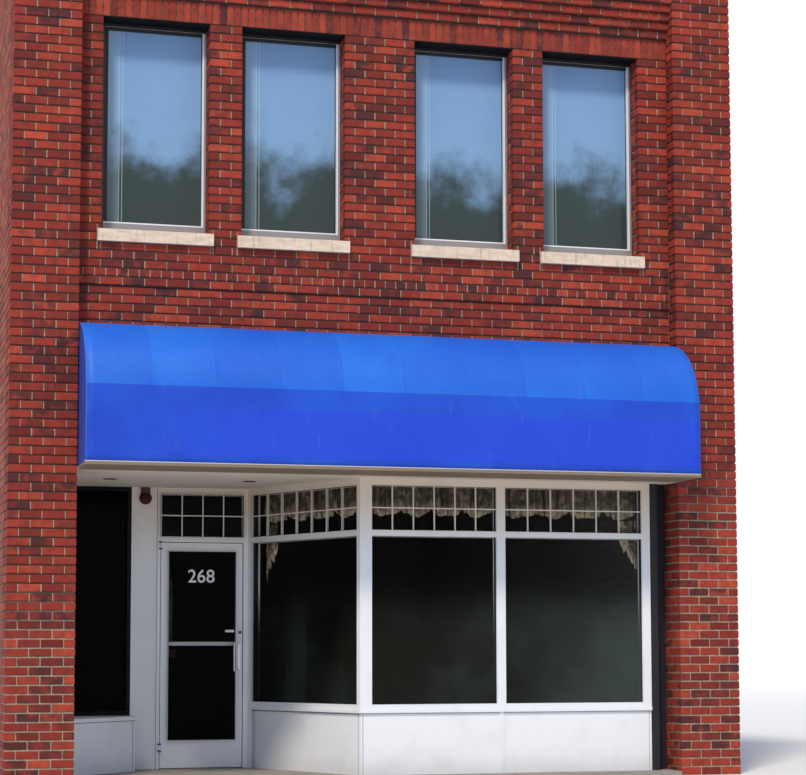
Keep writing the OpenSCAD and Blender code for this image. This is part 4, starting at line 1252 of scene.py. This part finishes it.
ROD_Z, HEM_Z = SOFFIT_Z - 0.004, SOFFIT_Z - 0.345
TAIL_Z, BAY_TAIL, SPLAY_TAIL = SOFFIT_Z - 0.362, SOFFIT_Z - 0.815, SOFFIT_Z - 0.915
for name, x0, x1, top, low, turn, shape, seed in (
        ("left_bay_valance", BAYS[0][0] + 0.006, BAYS[0][1] - 0.006, ROD_Z, HEM_Z, None, swag, 3),
        ("right_bay_valance", BAYS[1][0] + 0.006, BAYS[1][1] - 0.006, ROD_Z, HEM_Z, None, swag, 4),
        ("right_bay_tail", END_POST - 0.196, END_POST - 0.008, TAIL_Z, BAY_TAIL, None,
         stepped_right, 5),
        ("angled_valance", 0.112, SPLAY_LEN - 0.165, ROD_Z, HEM_Z, SPLAY, swag, 6),
        ("angled_tail", 0.112, 0.296, TAIL_Z, SPLAY_TAIL, SPLAY, stepped_left, 7)):
    y = FRAME_D + 0.0005 + (0 if turn else SHOP_Y)
    made = valance(name, x0, x1, top, low, turn, y, shape, seed)
    area = cloth_area(made)
    if name == "left_bay_valance":
        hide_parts("window_valances")

# Laps of the roofing felt, and the rear door's knob

laps = Joinery()
x = -ROOM_X + FELT_W
while x < ROOM_X - 0.2:
    laps.bar((x, WALL_IN + 0.002, ROOF_Z), (x + 0.08, REAR_IN - 0.002, ROOF_Z + 0.004), 0.0015)
    x += FELT_W
laps.done("felt_laps", FELT, slot="roof_felt")
lathe("rear_door_knob", [(0, 0), (0.026, 0), (0.026, 0.004), (0.011, 0.007), (0.011, 0.03),
                         (0.024, 0.038), (0.027, 0.05), (0.02, 0.062), (0, 0.065)],
      (1.14, BACK_Y - REVEAL - 0.0175, 1.05), STEEL, math.pi)

# Floor, light and camera

floor = bpy.data.meshes.new("studio floor")
bm = bmesh.new()
bmesh.ops.create_circle(bm, cap_ends=True, segments=96, radius=90)
bm.to_mesh(floor)
bm.free()
ground = placed("studio_floor", floor)
ground.location.z = -0.0005
floor_paint = Finish("pale floor", rgb(222, 221, 218), 0.85, Emission_Strength=1.0)
far = floor_paint.node("ShaderNodeVectorMath", {"operation": "LENGTH"}, {0: floor_paint.place}, 1)
far = floor_paint.step(far, 12.0, 70.0)
floor_paint.put("Base Color", floor_paint.mix(far, rgb(220, 221, 222), rgb(0, 0, 0)))
floor_paint.put("Emission Color", floor_paint.mix(far, rgb(0, 0, 0), rgb(255, 255, 255)))
floor.materials.append(floor_paint.material)

world = bpy.data.worlds.new("studio")
bpy.context.scene.world = world
world.use_nodes = True
sky = Nodes(world.node_tree)
camera_ray, glossy_ray, clear_ray = (
    sky.node("ShaderNodeLightPath", output=f"Is {kind} Ray")
    for kind in ("Camera", "Glossy", "Transmission"))
light = sky.node("ShaderNodeBackground", sockets={"Color": rgb(214, 230, 255), "Strength": 0.74})
white = sky.node("ShaderNodeBackground", sockets={"Color": rgb(255, 255, 255)})
both = sky.node("ShaderNodeMixShader", sockets={
    0: camera_ray | glossy_ray | clear_ray, 1: light, 2: white})
sky.feed(sky.tree.nodes["World Output"].inputs["Surface"], both)


def direction(heading, rise):
    """Heading in radians, clockwise on the plan from straight into the building."""
    return Vector((math.sin(heading) * math.cos(rise), math.cos(heading) * math.cos(rise),
                   math.sin(rise)))


sun = bpy.data.lights.new("key light", "SUN")
sun.energy, sun.angle, sun.color = 2.75, math.radians(9), rgb(255, 243, 224)[:3]
SUN_HEADING, SUN_HEIGHT = math.radians(212), math.radians(50)
to_sun = direction(SUN_HEADING, SUN_HEIGHT)
placed("key_light", sun).rotation_euler = to_sun.to_track_quat("Z", "Y").to_euler()

# The eye, as fitted to the photo: focal length and upright centre in pixels of its size
PHOTO_W, PHOTO_H, FOCAL, CENTRE = 806, 775, 2029.36, 475.5
EYE_AT = -4.8609, -23.0756, 1.1879
YAW, PITCH, ROLL = math.radians(15.4069), math.radians(4.933), math.radians(-0.111)
ahead = direction(YAW, PITCH)
right = ahead.cross(Vector((0, 0, 1))).normalized()
upward = right.cross(ahead)
right, upward = (right * math.cos(ROLL) + upward * math.sin(ROLL),
                 upward * math.cos(ROLL) - right * math.sin(ROLL))
eye = bpy.data.cameras.new("eye")
eye.sensor_width, eye.lens, eye.clip_end = 36.0, FOCAL * 36 / PHOTO_W, 500
eye.shift_y = (CENTRE - PHOTO_H / 2) / PHOTO_W
camera = placed("eye", eye)
camera.matrix_world = Matrix.Translation(EYE_AT) @ Matrix(
    (right, upward, -ahead)).transposed().to_4x4()
bpy.context.scene.camera = camera

bpy.context.scene.view_settings.view_transform = "Standard"
